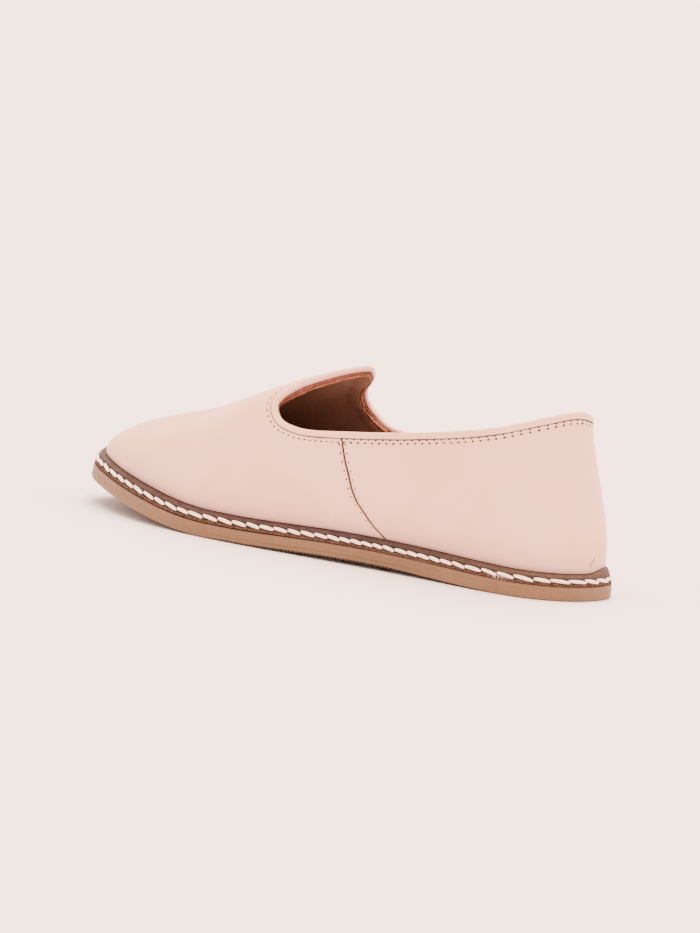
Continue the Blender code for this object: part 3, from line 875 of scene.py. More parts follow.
def stitchPlaces(path):  # middle, facing and length of each stitch: as seen on the outer side, then even
    closed = closeLoop(path)
    run = runLength(closed)
    seen = weltStitch["first"] + np.concatenate([[0.0], np.cumsum(weltStitch["lengths"])])
    rest = run[-1] - seen[-1] + seen[0]
    count = round(rest / weltStitch["pitch"])
    ends = np.concatenate([seen, seen[-1] + np.arange(1, count + 1) * rest / count])
    middles = np.mod((ends[1:] + ends[:-1]) / 2, run[-1])
    plan = interpRows(middles, run, closeLoop(outward(path[:, :2])))
    away = unit(np.column_stack([plan * weltStitch["lean"], np.ones(len(middles))]))
    spread = np.ones((len(middles), 3))
    spread[:, 0] = np.diff(ends) / weltStitch["length"] * weltStitch["overlap"]
    return {"points": interpRows(middles, run, closed), "away": away, "spread": spread, "closed": True}


def makeWeltStitches():
    length, breadth, height = (weltStitch[key] for key in ("length", "breadth", "height"))
    stations = [((place - 0.5) * length, breadth / 2 * thick, height / 2 * thick, rise)
                for place, thick, rise in weltStitch["stations"]]
    shape = tubeShape("weltStitchShape", stations, **weltStitch["tube"])
    share = midsole["threadShare"]
    inset = midsole["edgeInset"] - weltFlare(share, midsole["threadHeight"][1][1])
    thread = layerRing(marginOutline(share, inset), threadHeight, midsole["steps"])
    settings = {
        "pitch": weltStitch["pitch"] * mm, "tilt": math.radians(weltStitch["tilt"]),
        "tiltJitter": math.radians(weltStitch["tiltJitter"]), "sizeJitter": weltStitch["sizeJitter"],
        "seed": weltStitch["seed"], "evenly": False}
    piece = rowPiece("weltStitches", [stitchPlaces(thread)], shape, creamThread, settings)
    finishPiece(piece, "welt_leather")


insole = {
    "steps": 160,
    "inset": 2.7,
    "base": 10.7,
    "sections": [  # inset, height, painted shade
        (0.0, 0.0, 0.8), (0.0, 1.2, 0.8), (0.25, 1.75, 0.0), (0.8, 2.0, 0.0), (8.0, 1.9, 0.0),
    ],
}


def makeInsole():
    rings, paintedShade = [], []
    for inset, height, dirtAndShade in insole["sections"]:
        loop = marginOutline(1.0, insole["inset"] + inset)
        rings.append(layerRing(loop, insole["base"] + height, insole["steps"]))
        paintedShade.append(np.full(len(rings[0]), dirtAndShade))
    # painted shade on the sock's rim
    flags = {"crease": paintedShade, "base": np.zeros(np.shape(paintedShade))}
    finishPiece(soleLayer("insoleSock", rings, sockLeather, flags), "sock_leather", "insole")


makeOutsole()
makeTread()
makeMidsole()
makeWeltStitches()
makeInsole()
print("sole done")


# The upper's surface: ribs from the welt to the collar
def featherLine():
    loop = marginOutline(1.0)
    return loop, runLength(closeLoop(loop)), closeLoop(np.column_stack([loop, outlineOut]))


featherLoop, featherArc, featherColumns = featherLine()


def ribRing():
    toe, heel = np.argmax(featherLoop[:, 0]), np.argmin(featherLoop[:, 0])
    size = len(featherLoop)
    outerWay = np.arange(toe, heel + 1)
    innerWay = np.arange(heel, toe + size + 1)
    innerArc = featherArc[innerWay % size] + featherArc[-1] * (innerWay >= size)
    rows = []
    for footX, collarX, outer, inner, zOuter, zInner, *shape in last["ribs"]:
        foot = np.interp(-footX, -featherLoop[outerWay, 0], featherArc[outerWay])
        rows.append([foot, collarX, outer, zOuter, *shape])
    for footX, collarX, outer, inner, zOuter, zInner, *shape in last["ribs"][-2:0:-1]:
        foot = np.interp(footX, featherLoop[innerWay % size, 0], innerArc)
        rows.append([foot, collarX, inner, zInner, *shape])
    rows = np.array(rows)
    knots = ringKnots(rows[:, 1:4], last["ribKnotPower"])
    rows[:, 0] -= featherArc[-1] * knots[:-1] / knots[-1]
    return rows, knots


ribRows, ribKnots = ribRing()


def ribControls(u):
    value = ringCurve(ribRows, ribKnots, np.mod(u, 1.0) * ribKnots[-1])
    wrapped = np.mod(value[:, 0] + featherArc[-1] * np.mod(u, 1.0), featherArc[-1])
    foot = interpRows(wrapped, featherArc, featherColumns)
    seat = last["outsole"] + last["midsole"] + last["seatGap"] + seatRise(foot[:, 0], foot[:, 1])
    seatX, seatZ = onSole(foot[:, 0], seat)
    baseX, baseZ = onSole(foot[:, 0], seat + last["footStrip"])
    reach, lean, drop, rise, flare, dip = value[:, 4:].T
    top = value[:, 1:4]
    base = np.column_stack([baseX, foot[:, 1], baseZ])
    handle = base + np.column_stack([foot[:, 2] * flare, foot[:, 3] * flare, rise])
    shoulder = top + (base - top) * np.column_stack([reach, lean, np.zeros(len(u))])
    shoulder[:, 2] -= drop
    return np.column_stack([seatX, foot[:, 1], seatZ]), base, handle, shoulder, top, dip


def ribPoints(controls, t):  # t from -1 at the welt's seat, over 0, to 1 at the collar; ribs by places
    seat, base, handle, shoulder, top = (c[:, None] for c in controls[:5])
    way = np.clip(t, 0.0, 1.0)[..., None]
    strip = np.clip(-t, 0.0, 1.0)[..., None]
    skewed = way ** last["dipSkew"]
    arch = (4 * skewed * (1 - skewed)) ** last["dipSharpness"]
    hollow = arch * controls[5][:, None, None] * np.array([0.0, 0.0, 1.0])
    curve = ((1 - way) ** 3 * base + 3 * way * (1 - way) ** 2 * handle
             + 3 * way * way * (1 - way) * shoulder + way ** 3 * top)
    return curve - hollow + (seat - base) * strip


surface = {
    "ribs": 960,
    "places": 200,
    "shares": 120,
    "collarBand": 8.0,      # rows this near the collar follow it, the others share the height below
    "bandStep": 0.1,
    "bandEnd": 10.0,
    "faraway": 40.0,        # stands for any distance out of reach of collar or seam
    "probe": {"around": 0.0005, "below": -0.2, "share": 0.005, "beside": 0.001},   # steps to a neighbour
}
tableU = np.arange(surface["ribs"]) / surface["ribs"]
shareGrid = np.linspace(0.0, 1.0, surface["shares"] + 1)
belowGrid = np.arange(0.0, surface["bandEnd"], surface["bandStep"])


def surfaceTables():  # for each rib, the place t at shares of its height and at distances below the collar
    t = np.concatenate([[-1.0], np.linspace(0.0, 1.0, surface["places"])])
    points = ribPoints(ribControls(tableU), np.broadcast_to(t, (len(tableU), len(t))))
    collarTree = pointTree(points[:, -1])
    upperHalf = surface["places"] // 2
    below = np.array([[collarTree.find(p)[2] for p in rib[upperHalf:]] for rib in points])
    atBelow = np.array([np.interp(-belowGrid, -rib, t[upperHalf:]) for rib in below])
    arc = np.array([runLength(rib) for rib in points])
    bandPlace = atBelow[:, int(round(surface["collarBand"] / surface["bandStep"]))]
    bandArc = np.array([np.interp(p, t, a) for p, a in zip(bandPlace, arc)])
    atShare = np.array([np.interp(shareGrid * reach, a, t) for reach, a in zip(bandArc, arc)])
    return atShare, atBelow, bandArc / arc[:, -1]


sharePlace, belowPlace, bandShare = surfaceTables()


def aroundTable(values, u):
    return np.interp(np.mod(u, 1.0), np.append(tableU, 1.0), np.append(values, values[0]))


def rowPlace(kind, value):  # place t on every table rib of one row
    grid, table = (shareGrid, sharePlace) if kind == "share" else (belowGrid, belowPlace)
    at = np.clip(np.searchsorted(grid, value, side="right") - 1, 0, len(grid) - 2)
    part = (value - grid[at]) / (grid[at + 1] - grid[at])
    return table[:, at] * (1 - part) + table[:, at + 1] * part


def rowPoints(kind, value, u):
    return ribPoints(ribControls(u), aroundTable(rowPlace(kind, value), u)[:, None])[:, 0]


def belowCollar(kind, value):  # distance of a row from the collar, as far as it matters
    return value if kind == "below" else surface["faraway"]


def gridNormals(grid, closed):
    if closed:
        around = np.roll(grid, -1, axis=1) - np.roll(grid, 1, axis=1)
    else:
        around = np.gradient(grid, axis=1)
    return unit(np.cross(around, np.gradient(grid, axis=0)))


print("surface tables done")

# Seam between vamp and quarter, on each side
seam = {
    "line": [  # share of the rib's height, x
        (0.0, 83.1), (0.071, 87.5), (0.141, 90.9), (0.226, 94.2), (0.306, 97.5), (0.428, 100.9),
        (0.574, 104.0), (0.692, 106.8), (0.817, 109.3), (0.93, 111.5), (1.0, 112.7),
    ],
    "searches": [(0.18, 0.42), (0.58, 0.82)],   # u where the outer and the inner seam lie
    "searchSteps": 400,
    "gap": 0.18,            # each panel stops this far from the line
    "round": 0.6,           # radius of the turned edges
    "depth": 0.7,
    # painted shade in the seam's gap
    "dirtAndShade": 0.95,
    "shadeReach": 1.5,
    "shadePower": 1.3,
    "stitchAt": 1.55,
    "stitchTrough": 0.10,
    "troughWidth": 0.4,
    "stitchBand": (5.2, 6.0, 7.0),   # first places of the stitches, below the collar
    "stitchFoot": 0.09,     # they end at this share of the height
}


def heightShare(kind, value, u):  # share of the whole rib's height for one row
    band = aroundTable(bandShare, u)
    if kind == "share":
        return value * band
    return band + (1 - band) * (1 - value / surface["collarBand"])


def seamPlace(kind, value, search):  # u of the seam on one row
    u = np.linspace(*search, seam["searchSteps"])
    offset = rowPoints(kind, value, u)[:, 0] - lookUp(heightShare(kind, value, u), seam["line"])
    order = np.argsort(offset)
    return np.interp(0.0, offset[order], u[order])


# Creases listed with two ends, width, depth and painted shade; a negative depth is a ridge
creases = [
    ((26.0, 22.6, 60.0), (25.5, 22.8, 38.0), 6.0, -0.30, 0.0),
    ((31.5, 25.0, 42.0), (30.0, 26.5, 24.0), 5.0, -0.22, 0.0),
    ((40.0, 25.6, 56.0), (37.0, 27.0, 30.0), 7.0, 0.24, 0.0),
    ((57.0, 26.6, 54.2), (50.5, 26.4, 56.0), 0.8, 0.22, 0.1),
    ((59.0, 26.9, 52.6), (54.0, 26.7, 53.6), 1.0, -0.14, 0.0),
    ((3.2, -2.7, 16.2), (2.9, -0.2, 13.2), 0.55, 0.28, 0.8),
    ((78.0, 30.2, 20.0), (60.0, 28.5, 26.0), 5.0, 0.18, 0.0),
    ((118.0, 33.0, 24.0), (104.0, 32.0, 33.0), 5.0, 0.15, 0.0),
    ((150.0, 36.0, 22.0), (132.0, 33.0, 34.0), 7.0, -0.2, 0.0),
    ((196.0, 20.0, 40.0), (202.0, 0.0, 44.0), 6.0, 0.18, 0.0),
    ((202.0, 0.0, 44.0), (198.0, -22.0, 39.0), 6.0, 0.18, 0.0),
    ((118.0, -31.0, 24.0), (104.0, -30.0, 33.0), 5.0, 0.15, 0.0),
    ((40.0, -25.6, 56.0), (36.0, -27.0, 30.0), 7.0, 0.18, 0.0),
    ((62.0, -27.4, 48.0), (58.0, -28.0, 26.0), 6.0, -0.16, 0.0),
]


def creaseRelief(points):
    relief, shade = np.zeros(points.shape[:2]), np.zeros(points.shape[:2])
    for start, end, width, depth, dirtAndShade in creases:
        a, b = np.array(start), np.array(end)
        share = np.clip((points - a) @ (b - a) / np.sum((b - a) ** 2), 0.0, 1.0)
        away = bell(np.linalg.norm(points - (a + share[..., None] * (b - a)), axis=2) / width)
        relief -= depth * away
        # painted shade along a crease
        shade += dirtAndShade * away
    return relief, shade


collar = {
    "crease": 2.7,          # the binding's lower edge, below the collar's top
    "creasePaintedShade": 0.95,
    "creasePaintedShadeFrom": (0.5, 0.05),   # below the crease, where the painted shade starts and is whole
    "tuck": 0.6,            # the leather turns in under the binding
    "tuckFrom": (0.45, -0.15),
    "stitchBelow": 4.35,
    "stitchPitch": 3.55,
    "vampPitch": 2.8,
    "pillow": 0.12,         # the leather swells between crease and stitches
    "pillowDrop": 0.15,
    "pillowWidth": 0.45,
    "trough": 0.15,         # and sinks along the stitches, deepest at each needle hole
    "troughWidth": 0.45,
    "troughPulse": 0.3,
}
seamAtStitches = [seamPlace("below", collar["stitchBelow"], search) for search in seam["searches"]]


def stitchSteps():  # stitches counted along the collar's row, which are shorter on the vamp
    row = rowPoints("below", collar["stitchBelow"], tableU)
    onQuarter = (tableU > seamAtStitches[0]) & (tableU < seamAtStitches[1])
    pitch = np.where(onQuarter, collar["stitchPitch"], collar["vampPitch"])
    count = np.concatenate([[0.0], np.cumsum(np.diff(runLength(closeLoop(row))) / pitch)])
    return count * round(count[-1]) / count[-1], pitch


stitchCount, stitchPitch = stitchSteps()


def stitchPhase(u):
    return np.interp(np.mod(u, 1.0), np.append(tableU, 1.0), stitchCount)


panels = {
    "footRows": [0.0, 0.004, 0.009, 0.016, 0.025],
    "shareStart": 0.036,
    "shareRows": 55,
    "bandRows": [7.4, 6.8, 6.2, 5.7, 5.3, 5.0, 4.75, 4.55, 4.35, 4.15, 3.95, 3.7, 3.5, 3.3, 3.15, 3.0, 2.85,
                 2.7, 2.5, 2.2],
    "edgeColumns": [0.0, 0.1, 0.22, 0.36, 0.54, 0.76, 1.05, 1.3, 1.55, 1.8, 2.1, 2.6],
    "columnStep": 0.44,
    "tracePoints": 2000,
    "thickness": 1.0,
    "footPaintedShade": (0.5, 1.2),                 # painted shade at the welt: how much, and how high
    "footShade": [(0.8, 7.0), (0.6, 1.6)],  # the same for the soft shade above it
}
panelRows = [("share", s) for s in panels["footRows"]]
panelRows += [("share", s) for s in np.linspace(panels["shareStart"], 1.0, panels["shareRows"])]
panelRows += [("below", d) for d in panels["bandRows"]]


def panelColumns(startU, endU):  # shares from seam to seam, close together at the seams
    u = np.linspace(startU, endU, panels["tracePoints"])
    run = runLength(rowPoints("below", collar["stitchBelow"], u))
    edge = np.array(panels["edgeColumns"]) + seam["gap"]
    count = int((run[-1] - 2 * edge[-1]) / panels["columnStep"])
    inner = np.linspace(edge[-1], run[-1] - edge[-1], count)[1:-1]
    wanted = np.concatenate([edge, inner, run[-1] - edge[::-1]])
    return np.interp(wanted, run, np.linspace(0.0, 1.0, len(run)))


def panelGrid(fromOuter):  # the quarter runs from the outer seam round the heel, the vamp over the toe
    outerU, innerU = [
        np.array([seamPlace(kind, value, search) for kind, value in panelRows])
        for search in seam["searches"]]
    startU, endU = (outerU, innerU) if fromOuter else (innerU - 1.0, outerU)
    stitchRow = panelRows.index(("below", collar["stitchBelow"]))
    share = panelColumns(startU[stitchRow], endU[stitchRow])
    u = startU[:, None] + (endU - startU)[:, None] * share[None]
    points = np.array([rowPoints(kind, value, row) for (kind, value), row in zip(panelRows, u)])
    return u, points


def upperRelief(points, u, below, toSeam):  # height over the plain surface, and its painted shade
    relief, shade = creaseRelief(points)
    edge = np.clip(1 - (toSeam - seam["gap"]) / seam["round"], 0.0, 1.0)
    relief -= seam["depth"] * (1 - np.sqrt(np.clip(1 - edge ** 2, 0.0, 1.0)))
    relief -= seam["stitchTrough"] * bell((toSeam - seam["stitchAt"]) / seam["troughWidth"])
    overCrease = below - collar["crease"]
    relief -= collar["tuck"] * easeBetween(overCrease, *collar["tuckFrom"])
    pillowAt = (collar["crease"] + collar["stitchBelow"]) / 2 + collar["pillowDrop"]
    relief += collar["pillow"] * bell((below - pillowAt) / collar["pillowWidth"])
    phase = np.cos(2 * np.pi * stitchPhase(u.ravel())).reshape(u.shape)
    pulse = 1 - collar["troughPulse"] + collar["troughPulse"] * phase
    relief -= collar["trough"] * bell((below - collar["stitchBelow"]) / collar["troughWidth"]) * pulse
    # painted shade in the seam's gap and in the groove under the binding
    shade += seam["dirtAndShade"] * np.clip(seam["shadeReach"] * edge, 0.0, 1.0) ** seam["shadePower"]
    shade += collar["creasePaintedShade"] * easeBetween(overCrease, *collar["creasePaintedShadeFrom"])
    return relief, shade


def panelPiece(name, fromOuter):
    u, points = panelGrid(fromOuter)
    normal = gridNormals(points, False)
    run = np.array([runLength(row) for row in points])
    toSeam = seam["gap"] + np.minimum(run, run[:, -1:] - run)
    below = np.array([[belowCollar(kind, value)] * u.shape[1] for kind, value in panelRows])
    relief, shade = upperRelief(points, u, below, toSeam)
    overWelt = np.cumsum(np.linalg.norm(np.diff(points, axis=0, prepend=points[:1]), axis=2), axis=0)
    # painted shade: a dark edge where the leather meets the welt, and soft shade above it
    dirtAndShade, shadeHeight = panels["footPaintedShade"]
    shade += dirtAndShade * bell(overWelt / shadeHeight)
    base = sum(share * bell(overWelt / height) for share, height in panels["footShade"])
    flags = {"crease": np.clip(shade, 0.0, 1.0), "base": np.clip(base, 0.0, 1.0)}
    faces = bandFaces(len(points), points.shape[1], closedRows=False)
    piece = addPiece(name, points + normal * relief[..., None], faces, pinkLeather, flags, closed=False)
    thicken(piece, panels["thickness"])
    finishPiece(piece, "upper_leather", "upper")


panelPiece("vampLeather", False)
panelPiece("quarterLeather", True)


lining = {
    "ribs": 420,
    "shareRows": 44,
    "bandRows": [7.0, 6.2, 5.5, 4.9, 4.4, 3.9, 3.4, 2.9, 2.5, 2.2],
    "outer": 1.15,
    "flare": 1.25,          # the wall grows towards its cut edge at the collar
    "flareFrom": (9.0, 3.0),        # below the collar, where it starts to grow and where it ends
    "thickness": 1.4,
    "paintedLight": 0.3,            # painted light: the inner wall is paler
    "paintedLightAlong": (172.0, 142.0),    # x where that starts, and where it is whole
    "paintedLightAcross": (0.0, -20.0),
    "deep": 0.14,           # painted shade: the toe's end is darker
    "paintedShadeAlong": (160.0, 205.0),
}


def makeLining():
    u = np.arange(lining["ribs"]) / lining["ribs"]
    rows = [("share", s) for s in np.linspace(0.0, 1.0, lining["shareRows"])]
    rows += [("below", d) for d in lining["bandRows"]]
    points = np.array([rowPoints(kind, value, u) for kind, value in rows])
    below = np.array([belowCollar(kind, value) for kind, value in rows])
    depth = lining["outer"] + lining["flare"] * easeBetween(below, *lining["flareFrom"])
    inner = points - gridNormals(points, True) * depth[:, None, None]
    x, y = points[..., 0], points[..., 1]
    paintedLight = lining["paintedLight"] * easeBetween(x, *lining["paintedLightAlong"]) * easeBetween(y, *lining["paintedLightAcross"])
    # painted shade at the toe's end and painted light on the inner wall
    flags = {"crease": lining["deep"] * easeBetween(x, *lining["paintedShadeAlong"]), "base": paintedLight}
    faces = bandFaces(len(rows), lining["ribs"])
    piece = addPiece("liningLeather", inner, faces, liningLeather, flags, closed=False)
    thicken(piece, lining["thickness"])
    finishPiece(piece, "upper_leather")


makeLining()
print("upper done")

# Collar: the rolled binding, and the cut edges of strip and lining inside it
binding = {
    "ribs": 900,
    "section": [  # across, up: outer foot, over the top, and down the shorter inner face
        (-0.30, -2.74), (0.02, -2.76), (0.24, -2.64), (0.36, -2.36), (0.40, -1.9), (0.40, -1.4),
        (0.36, -0.9), (0.25, -0.46), (0.04, -0.16), (-0.28, 0.0), (-0.70, 0.06), (-1.15, 0.02),
        (-1.55, -0.12), (-1.84, -0.34), (-1.98, -0.60), (-2.0, -0.80), (-1.90, -0.95), (-1.60, -1.05),
        (-1.0, -1.3), (-0.6, -2.1),
    ],
    "tracePoints": 4000,
    "climbFrom": 3.2,       # the binding stands up from a row this far below the collar
    "climbRounds": 3,       # of smoothing
    "pucker": 0.05,
    "wave": 0.05,
    "waveTurns": (5, 9, 14, 23),
    "waveBelow": -2.0,      # the foot waves up and down, from here
    # painted shade in the groove along the binding's foot and on its hidden inner face
    "footPaintedShade": 0.9,
    "footPaintedShadeFrom": (-2.45, -2.75),
    "innerPaintedShade": 0.7,
    "innerPaintedShadeFrom": (-0.4, -1.3),   # across and up, from where the hidden inner face gets painted shade
    "seed": 21,
    "notchLift": 0.5,       # inside the outer notch the cut edges stand higher and further out
    "notchReach": 0.8,
    "notch": (0.128, 0.075),        # place round the collar, and breadth
    "raggedTurns": (17, 31, 53, 83, 131),
    "raggedAcross": 0.8,    # as a share of how ragged the edges are up and down
    "strip": {"across": (-1.25, -3.10), "up": (-2.4, -0.92), "ragged": 0.10, "bevel": 0.18, "seed": 31},
    "lip": {"across": (-2.5, -3.85), "up": (-2.4, -1.45), "ragged": 0.12, "bevel": 0.12, "seed": 37},
}


def collarFrame():
    dense = np.linspace(0.0, 1.0, binding["tracePoints"], endpoint=False)
    run = runLength(closeLoop(rowPoints("below", 0.0, dense)))
    wanted = np.arange(binding["ribs"]) / binding["ribs"] * run[-1]
    u = np.interp(wanted, run, np.append(dense, 1.0))
    top = rowPoints("below", 0.0, u)
    along = unit(np.roll(top, -1, axis=0) - np.roll(top, 1, axis=0))
    lowerTree = pointTree(rowPoints("below", binding["climbFrom"], dense))
    climb = top - np.array([lowerTree.find(p)[0] for p in top])
    for step in range(binding["climbRounds"]):
        climb = (np.roll(climb, 1, axis=0) + climb + np.roll(climb, -1, axis=0)) / 3
    up = unit(climb - along * np.sum(climb * along, axis=1)[:, None])
    return top, up, np.cross(along, up), wanted, run[-1], u


collarTop, collarUp, collarOut, collarRun, collarWhole, collarU = collarFrame()


def collarSweep(name, across, height, material, dirtAndShade, slot, *nodes):  # across and up, ribs by sides
    points = collarTop[:, None] + collarOut[:, None] * across[..., None]
    points = points + collarUp[:, None] * height[..., None]
    faces = bandFaces(len(points), points.shape[1], closedRings=True)
    piece = addPiece(name, points, faces, material, {"crease": dirtAndShade, "base": np.zeros(dirtAndShade.shape)})
    finishPiece(piece, slot, *nodes)


def makeBinding():
    sideways, up = np.array(binding["section"]).T
    phase = np.cos(2 * np.pi * stitchPhase(collarU))
    wave = binding["wave"] * waver(collarRun, collarWhole, binding["waveTurns"], binding["seed"])
    outerSide = np.clip(sideways / sideways.max(), 0.0, 1.0)
    across = sideways[None] + (binding["pucker"] * phase + wave)[:, None] * outerSide[None]
    height = up[None] + wave[:, None] * (up < binding["waveBelow"])[None]
    # painted shade on the binding's foot and hidden inner face
    innerFace = (sideways < binding["innerPaintedShadeFrom"][0]) & (up < binding["innerPaintedShadeFrom"][1])
    dirtAndShade = binding["footPaintedShade"] * easeBetween(up, *binding["footPaintedShadeFrom"])
    dirtAndShade = dirtAndShade + binding["innerPaintedShade"] * innerFace
    dirtAndShade = np.broadcast_to(np.clip(dirtAndShade, 0.0, 1.0), across.shape)
    collarSweep("collarBinding", across, height, bindingLeather, dirtAndShade, "binding_leather", "collar_binding")


def makeEdge(name, edge, material):
    ragged = edge["ragged"] * waver(collarRun, collarWhole, binding["raggedTurns"], edge["seed"])
    (near, far), (foot, top), bevel = edge["across"], edge["up"], edge["bevel"]
    section = np.array([(near, foot), (near, top), (far + bevel, top), (far, top - bevel), (far, foot)])
    across, height = np.repeat(section.T[:, None], len(collarRun), axis=1)
    notchAt, notchWidth = binding["notch"]
    inNotch = bell((collarU - notchAt) / notchWidth)
    height[:, 1:4] += (ragged + binding["notchLift"] * inNotch)[:, None]
    across[:, 2:] -= (ragged * binding["raggedAcross"] + binding["notchReach"] * inNotch)[:, None]
    collarSweep(name, across, height, material, np.zeros(across.shape), "upper_leather")


makeBinding()
makeEdge("bindingStripEdge", binding["strip"], stripEdge)
makeEdge("liningLipEdge", binding["lip"], lipEdge)
print("collar done")

# Stitching of collar and seams
fineStitch = {
    "length": 2.5,
    "thickness": 0.46,
    "sides": 6,
    "stations": [  # place from the middle, breadth, height, rise
        (-1.0, 0.3, 0.3, -0.12), (-0.8, 0.85, 0.8, -0.02), (-0.3, 1.0, 1.0, 0.03),
        (0.3, 1.0, 1.0, 0.03), (0.8, 0.85, 0.8, -0.02), (1.0, 0.3, 0.3, -0.12),
    ],
    "tiltJitter": 5.0,
    "sizeJitter": 0.12,
    "seed": 9,
    "hole": (0.60, 0.40),   # half length and half breadth
    "holeSides": 10,
    "holeTilt": 18.0,
    "holeFoot": -0.2,
    "holeRise": 0.16,
    "holeLip": (0.55, 0.08),        # the sunk ring's size, and how far it sinks
    "holeSink": 0.14,
    "seamSize": {-1: (0.95, 0.5), 1: (0.7, 0.35)},   # behind and ahead of the seam, from collar to welt
    "creaseSize": (0.75, 0.7, 1.0),
    "creaseBelow": 0.5,     # the marks beside the binding, below its crease
    "creaseInset": 0.004,   # and this share of the collar away from the seams
    "creasePoints": 1500,
}


def fineStitchShape(name, shift):
    half, thick = fineStitch["length"] / 2, fineStitch["thickness"] / 2
    stations = [(shift + half * place, thick * breadth, thick * height, rise)
                for place, breadth, height, rise in fineStitch["stations"]]
    return tubeShape(name, stations, fineStitch["sides"])


# a dark dish just proud of the leather, standing for a needle hole's shade
def needleHoleShape(name):
    sides, foot, rise = fineStitch["holeSides"], fineStitch["holeFoot"], fineStitch["holeRise"]
    (long, wide), (lipSize, lipSink) = fineStitch["hole"], fineStitch["holeLip"]
    turn = np.arange(sides) * 2 * np.pi / sides
    lean = math.radians(fineStitch["holeTilt"])
    x, y = np.cos(turn) * long, np.sin(turn) * wide
    tiltedX = x * math.cos(lean) - y * math.sin(lean)
    tiltedY = x * math.sin(lean) + y * math.cos(lean)
    oval = np.column_stack([tiltedX, tiltedY])
    levels = ((1.0, foot), (1.0, rise), (lipSize, rise - lipSink))
    rings = [np.column_stack([oval * size, np.full(sides, z)]) for size, z in levels]
    points = np.concatenate(rings + [[[0.0, 0.0, rise - fineStitch["holeSink"]]], [[0.0, 0.0, foot]]])
    lip, total = (len(rings) - 1) * sides, len(rings) * sides
    faces = bandFaces(len(rings), sides)
    faces += [(lip + k, lip + (k + 1) % sides, total) for k in range(sides)]
    faces += [(k, (k + 1) % sides, total + 1) for k in range(sides)]
    return shapePiece(name, points, faces)


def surfacePath(kind, value, u, toSeam, closed=False):  # run on the dressed surface
    points = rowPoints(kind, value, u)
    ahead = rowPoints(kind, value, u + surface["probe"]["around"])
    higher = rowPoints(kind, value + surface["probe"][kind], u)
    away = unit(np.cross(ahead - points, higher - points))
    below = np.full((1, len(u)), belowCollar(kind, value))
    relief = upperRelief(points[None], u[None], below, np.broadcast_to(toSeam, below.shape))[0]
    return {"points": points + away * relief[0][:, None], "away": away, "closed": closed}


def seamPath(search, side):  # run beside a seam, ahead or behind it, from collar to welt
    offset, step = side * seam["stitchAt"], surface["probe"]["beside"]
    rows = [("below", d) for d in seam["stitchBand"]]
    rows += [row for row in panelRows[::-1] if row[0] == "share" and row[1] > seam["stitchFoot"]]
    points, away = [], []
    for kind, value in rows:
        at = seamPlace(kind, value, search)
        pair = rowPoints(kind, value, at + np.array([0.0, step]))
        u = np.array([at + step * offset / np.linalg.norm(pair[1] - pair[0])])
        run = surfacePath(kind, value, u, abs(offset))
        points.append(run["points"][0])
        away.append(run["away"][0])
    size = np.linspace(*fineStitch["seamSize"][side], len(rows))
    spread = np.column_stack([size, size, np.ones(len(rows))])
    return {"points": np.array(points), "away": np.array(away), "spread": spread, "closed": False}


def collarPath():  # one place for each stitch of the collar's row
    pitch, below = collar["stitchPitch"], collar["stitchBelow"]
    places = np.interp(np.arange(round(stitchCount[-1])), stitchCount, np.append(tableU, 1.0))
    atSeams = stitchPhase(np.array(seamAtStitches))
    toSeam = np.min(np.abs(stitchPhase(places) - atSeams[:, None]) * pitch, axis=0)
    size = aroundTable(stitchPitch, places) / pitch
    spread = np.column_stack([size, size, np.ones(len(size))])
    return dict(surfacePath("below", below, places, toSeam, True), spread=spread)


def creasePath():  # run of dark marks along the quarter's binding, painted shade of needle holes
    outerU, innerU = seamAtStitches
    inset, below = fineStitch["creaseInset"], collar["crease"] + fineStitch["creaseBelow"]
    places = np.linspace(outerU + inset, innerU - inset, fineStitch["creasePoints"])
    return dict(surfacePath("below", below, places, surface["faraway"]), spread=fineStitch["creaseSize"])


def makeFineStitches():
    pitch = collar["stitchPitch"]
    settings = {
        "pitch": pitch * mm, "tiltJitter": math.radians(fineStitch["tiltJitter"]),
        "sizeJitter": fineStitch["sizeJitter"], "seed": fineStitch["seed"]}
    seamPaths = [seamPath(search, side) for search in seam["searches"] for side in (-1, 1)]
    for name, paths, evenly in (("collar", [collarPath()], False), ("seam", seamPaths, True)):
        settings["evenly"] = evenly
        thread = fineStitchShape(name + "Shape", pitch / 2)
        finishPiece(rowPiece(name + "Stitches", paths, thread, pinkThread, settings), "upper_leather")
        # dark dishes as painted shade of the needle holes
        hole = needleHoleShape(name + "HoleShape")
        finishPiece(rowPiece(name + "NeedleHoles", paths, hole, needleDark, settings), "upper_leather")
    # dark marks as painted shade of needle holes beside the binding
    mark = needleHoleShape("creaseShape")
    marks = rowPiece("creaseNeedleMarks", [creasePath()], mark, needleDark, settings)
    finishPiece(marks, "upper_leather")


makeFineStitches()
print("stitching done")

# Studio: pale floor, soft light, and the photo's camera
studio = {
    "floorSize": 8.0,
    "floorDrop": 0.0001,    # the floor lies just under the sole
    "floorSockets": {"Roughness": 0.9, "Base Color": (0.93, 0.91, 0.90, 1.0)},
    "lightTint": (1.0, 0.70, 0.60),   # the warm white of the picture's light
    "worldStrength": 2.7,
    "suns": [  # name, towards the light, spread in degrees, strength
        ("keySun", (0.45, -0.80, 0.95), 30.0, 4.2),
        ("topSun", (0.02, -0.02, 1.0), 60.0, 6.4),
    ],
}


def lookMatrix(back, roll):  # turned so that +Z looks back, with the picture's roll
    right = unit(np.cross([0.0, 0.0, 1.0], back))
    up = np.cross(back, right)
    rolledRight = right * math.cos(roll) + up * math.sin(roll)
    rolledUp = up * math.cos(roll) - right * math.sin(roll)
    return Matrix(np.column_stack([rolledRight, rolledUp, back]).tolist())


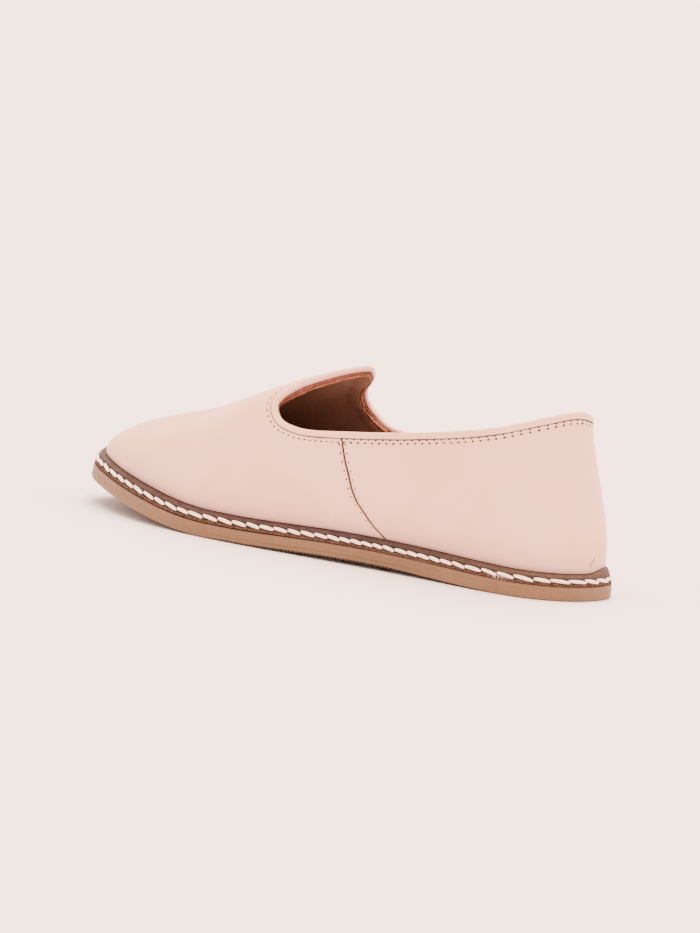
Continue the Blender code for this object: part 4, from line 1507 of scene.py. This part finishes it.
def turnObject(item, look):
    item.rotation_mode = "QUATERNION"
    item.rotation_quaternion = look.to_quaternion()


def makeStudio():
    half, z = studio["floorSize"] / 2, -studio["floorDrop"]
    mesh = bpy.data.meshes.new("studioFloor")
    corners = [(-half, -half, z), (half, -half, z), (half, half, z), (-half, half, z)]
    mesh.from_pydata(corners, [], [(0, 1, 2, 3)])
    mesh.materials.append(newMaterial("floorPaper", studio["floorSockets"])[0])
    floor = linkObject("studioFloor", mesh)
    world = bpy.data.worlds.new("studioWorld")
    world.use_nodes = True
    background = world.node_tree.nodes["Background"]
    background.inputs["Color"].default_value = (*studio["lightTint"], 1.0)
    background.inputs["Strength"].default_value = studio["worldStrength"]
    bpy.context.scene.world = world
    for name, towards, spread, strength in studio["suns"]:
        light = bpy.data.lights.new(name, "SUN")
        light.angle = math.radians(spread)
        light.energy = strength
        light.color = studio["lightTint"]
        lamp = linkObject(name, light)
        lamp.location = towards
        turnObject(lamp, lookMatrix(unit(np.array(towards)), 0.0))


photoCamera = {
    "lens": 1000.0,
    "distance": 10.2071,
    "turn": 39.968,         # degrees behind the outer side
    "height": 7.387,
    "roll": 5.777,
    "aim": (0.0, 0.0, 0.037),
    "shift": (-0.00054, -0.00447),   # camera moved in its own plane
    "clip": (1.0, 40.0),
}


def makeCamera():
    turn, height = math.radians(photoCamera["turn"]), math.radians(photoCamera["height"])
    level = math.cos(height)
    back = np.array([-math.sin(turn) * level, math.cos(turn) * level, math.sin(height)])
    look = lookMatrix(back, math.radians(photoCamera["roll"]))
    axes = np.array(look)
    place = np.array(photoCamera["aim"]) + back * photoCamera["distance"]
    place += axes[:, 0] * photoCamera["shift"][0] + axes[:, 1] * photoCamera["shift"][1]
    data = bpy.data.cameras.new("photoCamera")
    data.lens = photoCamera["lens"]
    data.clip_start, data.clip_end = photoCamera["clip"]
    camera = linkObject("photoCamera", data)
    camera.location = place
    turnObject(camera, look)
    bpy.context.scene.camera = camera


makeStudio()
makeCamera()
print("studio done")
